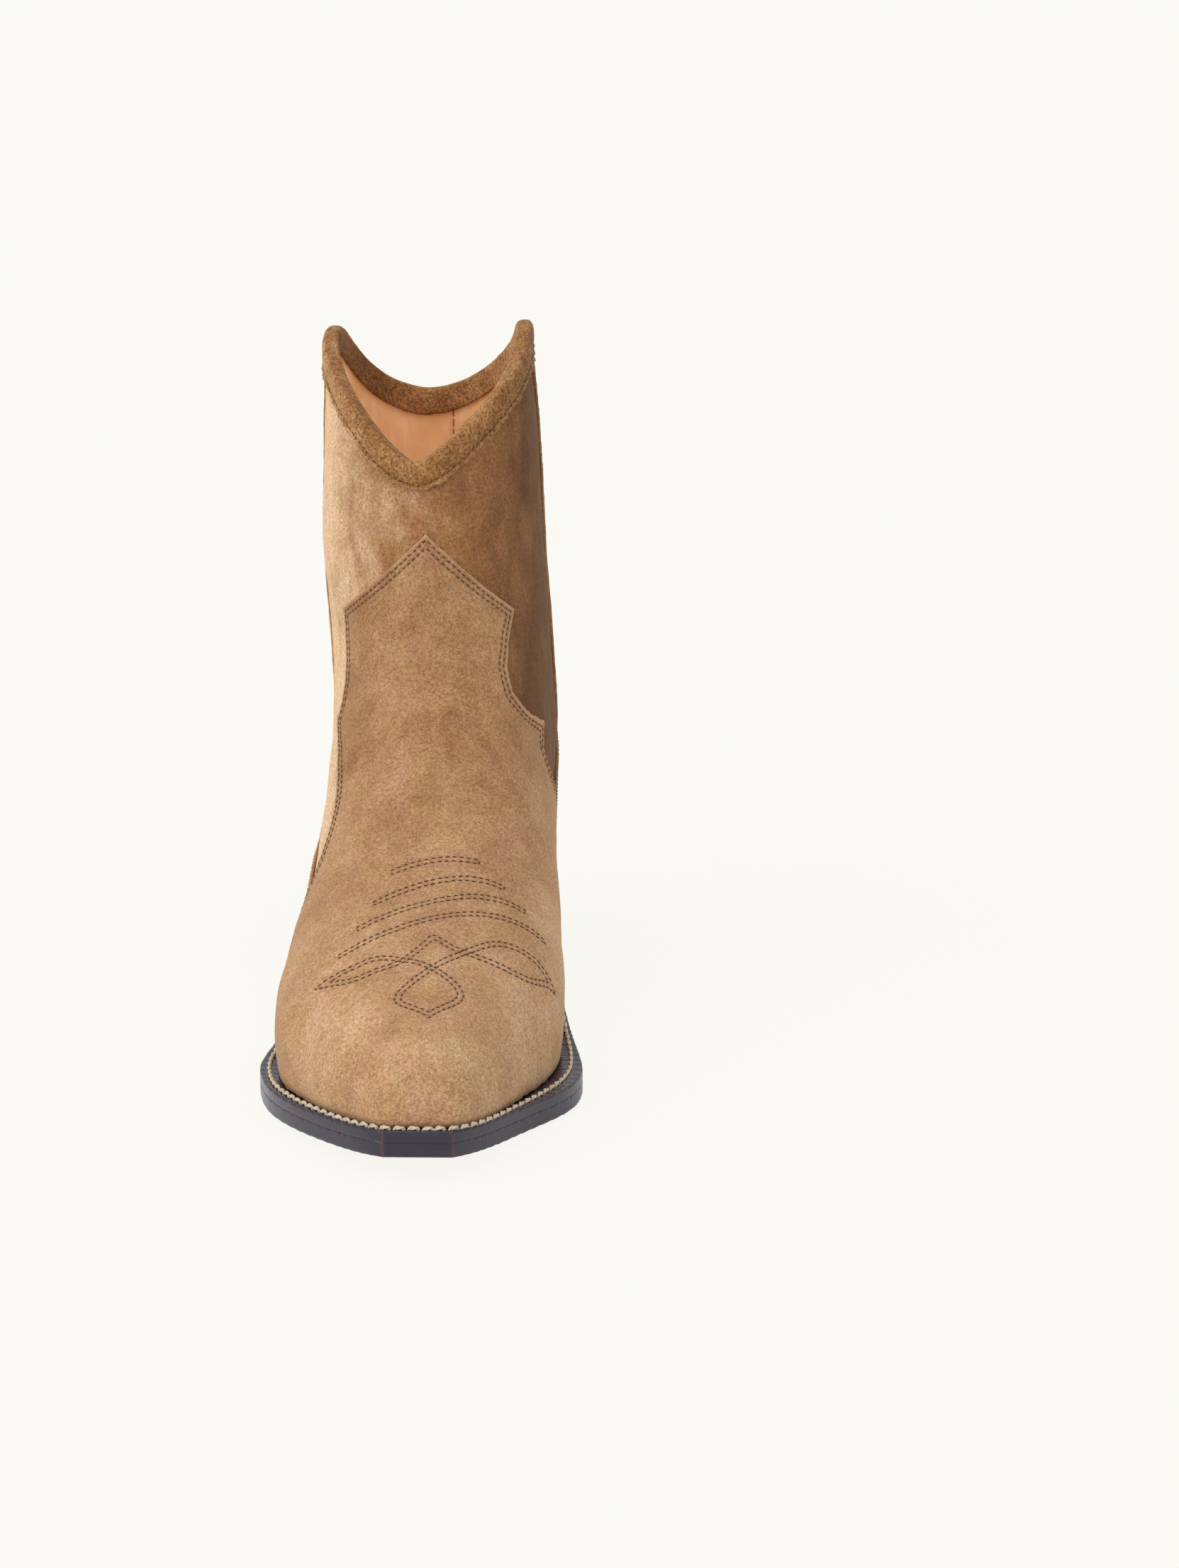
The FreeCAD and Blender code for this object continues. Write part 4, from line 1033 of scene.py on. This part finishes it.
def build_welt_thread(line):
    """Two-ply twine: each stitch is a pair of twisted strands that dives into the welt at its ends."""
    length = np.linalg.norm(np.diff(line, axis=0), axis=1).sum()
    count = int(length / WELT_STITCH_PITCH)
    marks = resample(line, length / count / WELT_PITCH_STEPS)
    starts = np.arange(count - 1) * WELT_PITCH_STEPS
    shares = np.linspace(0, 1, WELT_STITCH_RINGS)
    up = np.tile((0.0, 0.0, 1.0), (WELT_STITCH_RINGS, 1))
    dip = -2.0 * WELT_PLY_RADIUS * np.abs(2 * shares - 1) ** 3
    centres = []
    for start in starts:
        span = marks[start:start + WELT_STITCH_RINGS]
        side = unit(np.cross(unit(np.gradient(span, axis=0)), up))
        for ply in (0, math.pi):
            twist = ply + shares * WELT_TWIST + 0.4
            centres.append(span + side * (WELT_PLY_SWING * np.cos(twist))[:, None]
                           + up * (WELT_PLY_SWING * np.sin(twist) + dip)[:, None])
    girth = WELT_PLY_RADIUS * (0.72 + 0.28 * np.sin(math.pi * shares))
    ups = np.tile(up, (len(centres), 1, 1))
    piece = thread_piece("welt_stitching", np.array(centres), ups, girth, 7, WELT_TWINE)
    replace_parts(piece, "welt_thread")


def build_welt(line):
    """The welt strip, with a wheel mark pressed into its top beside every stitch."""
    mesh = even_mesh("welt", BAND_VOXEL)
    points = read_points(mesh)
    points = soften(points, read_edges(mesh), surface_tree(NODES["outsole"].data), 3)
    length = np.linalg.norm(np.diff(line, axis=0), axis=1).sum()
    pitch = length / int(length / WELT_STITCH_PITCH)
    tree = line_tree(line)
    near = [tree.find(point) for point in points]
    along = np.array([found[1] for found in near]) * LINE_STEP
    top = read_normals(mesh)[:, 2] > 0.5
    mark = fade(np.abs((along / pitch) % 1 - 0.5) * pitch, 0.55 * MM)
    beside = np.array([found[2] for found in near])
    outer = np.clip((beside - 1.2 * MM) / (0.5 * MM), 0, 1)
    points[:, 2] -= NOTCH_DEPTH * mark * outer * top
    write_points(mesh, points)
    store(mesh, "rubbed", 0.6 * fade(distances(points, line_tree(upright_corners("welt"))), CORNER_RUB))
    piece = add_piece("welt_strip", mesh, SOLE_EDGE, slot_of("welt"))
    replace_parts(piece, "welt")


def build_bottom():
    """Sole, rand and the stacked heel."""
    line = welt_seam_line()
    build_welt(line)
    build_welt_thread(line)
    worn_piece("outsole", "outsole_board", SOLE_EDGE, WELT_TREE)
    firm_piece("heel_rand", "heel_rand_strip", SOLE_EDGE, 0.4 * MM)
    firm_piece("heel_wedge", "heel_wedge_block", HEEL_EDGE, 0.2 * MM)
    for number in range(1, 6):
        firm_piece("heel_lift_%d" % number, "heel_layer_%d" % number, HEEL_EDGE, 0.18 * MM)
    firm_piece("top_lift", "top_lift_block", RUBBER, 0.5 * MM)


def lining_seam():
    """Zig-zag stitches that join the two halves of the back lining."""
    seam_x = (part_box("back_lining_outer")[1].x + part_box("back_lining_inner")[0].x) / 2
    tree = sheet_tree("back_lining_outer", -1)
    other = sheet_tree("back_lining_inner", -1)
    line = []
    levels = np.arange(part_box("sock_liner")[1].z + 5 * MM, BOOT_HEIGHT, LINING_STITCH_PITCH)
    for number, level in enumerate(levels):
        swing = LINING_STITCH_SWING * (-1) ** number
        start = Vector((seam_x + swing, LEG_CENTRE[1], level))
        hit = (tree if swing < 0 else other).ray_cast(start, Vector((0, 1, 0)))[0]
        if hit is not None and below_top_line(np.array([hit]))[0] > BINDING_FULL_WIDTH:
            line.append(hit)
    line = np.array(line)
    spans = np.stack([line[:-1] * (1 - share) + line[1:] * share for share in STITCH_SHARES], axis=1)
    spans[:, :, 1] -= STITCH_HEIGHTS * LINING_THREAD_RADIUS
    ups = np.tile((0.0, -1.0, 0.0), (*spans.shape[:2], 1))
    thread_piece("lining_seam_stitching", spans, ups, STITCH_GIRTH * LINING_THREAD_RADIUS, 6, LINING_THREAD)


def finish_inside():
    """Finishes of the nodes seen through the opening or hidden between the layers."""
    looks = {
        "front_lining": PALE_LINING,
        "back_lining_inner": TAN_LINING,
        "back_lining_outer": TAN_LINING,
        "vamp_lining": TAN_LINING,
        "sock_liner": SOCK_LEATHER,
        "insole_board": SOLE_BOTTOM,
        "top_lift_brads": BRASS,
        "heel_nails": STEEL,
        "shank": STEEL,
        "shank_rivets": STEEL,
    }
    for node, finish in looks.items():
        NODES[node].data.materials[0] = finish


# -------------------------------------------------------------------------------------- stage

FLOOR_TONE = tone(251, 250, 245)


def build_floor():
    """A plain pale floor that stays even, with a faint shadow under the boot."""
    mesh = bpy.data.meshes.new("floor")
    reach = 60.0
    corners = [(-reach, -reach, 0), (reach, -reach, 0), (reach, reach, 0), (-reach, reach, 0)]
    mesh.from_pydata(corners, [], [(0, 1, 2, 3)])
    material = bpy.data.materials.new("pale_floor")
    material.use_nodes = True
    nodes, links = material.node_tree.nodes, material.node_tree.links
    nodes["Principled BSDF"].inputs["Base Color"].default_value = (0.8, 0.8, 0.78, 1)
    nodes["Principled BSDF"].inputs["Roughness"].default_value = 0.9
    glow = nodes.new("ShaderNodeEmission")
    glow.inputs["Color"].default_value = FLOOR_TONE
    mix = nodes.new("ShaderNodeMixShader")
    path = nodes.new("ShaderNodeLightPath")
    share = nodes.new("ShaderNodeMath")
    share.operation = "MULTIPLY"
    share.inputs[1].default_value = 0.94
    links.new(path.outputs["Is Camera Ray"], share.inputs[0])
    links.new(share.outputs[0], mix.inputs[0])
    links.new(nodes["Principled BSDF"].outputs[0], mix.inputs[1])
    links.new(glow.outputs[0], mix.inputs[2])
    links.new(mix.outputs[0], nodes["Material Output"].inputs["Surface"])
    floor = bpy.data.objects.new("floor", mesh)
    mesh.materials.append(material)
    SCENE.collection.objects.link(floor)


def add_sun(name, towards, strength, softness, colour):
    """A very soft far light that comes from a direction."""
    light = bpy.data.lights.new(name, "SUN")
    light.energy = strength
    light.angle = math.radians(softness)
    light.color = colour
    lamp = bpy.data.objects.new(name, light)
    lamp.rotation_euler = Vector(towards).to_track_quat("Z", "Y").to_euler()
    SCENE.collection.objects.link(lamp)


def build_light():
    """Soft studio light, mostly from the front left and above."""
    world = bpy.data.worlds.new("studio")
    world.use_nodes = True
    nodes, links = world.node_tree.nodes, world.node_tree.links
    nodes["Background"].inputs["Color"].default_value = FLOOR_TONE
    path = nodes.new("ShaderNodeLightPath")
    strength = nodes.new("ShaderNodeMapRange")
    strength.inputs["To Min"].default_value = 0.6
    strength.inputs["To Max"].default_value = 1.0
    links.new(path.outputs["Is Camera Ray"], strength.inputs["Value"])
    links.new(strength.outputs["Result"], nodes["Background"].inputs["Strength"])
    SCENE.world = world
    add_sun("key", (-0.95, -0.5, 0.65), 1.35, 55, (1.0, 0.985, 0.96))
    add_sun("front", (0.5, -1.0, 0.6), 0.3, 60, (1.0, 0.99, 0.98))
    add_sun("top", (0.05, -0.25, 1.0), 0.8, 50, (1.0, 0.99, 0.98))
    SCENE.view_settings.view_transform = "Standard"


def build_camera():
    """Camera at standing height in front of the toe, looking slightly down."""
    lens = bpy.data.cameras.new("camera")
    lens.sensor_fit = "VERTICAL"
    lens.sensor_height = 36
    lens.lens = 74.35
    lens.clip_end = 200
    camera = bpy.data.objects.new("camera", lens)
    camera.location = (0.0707, -1.1579, 0.3632)
    camera.rotation_euler = (math.radians(90 - 14.511), 0, math.radians(1.056))
    SCENE.collection.objects.link(camera)
    SCENE.camera = camera


build_upper()
build_bindings()
build_bottom()
lining_seam()
finish_inside()
build_floor()
build_light()
build_camera()
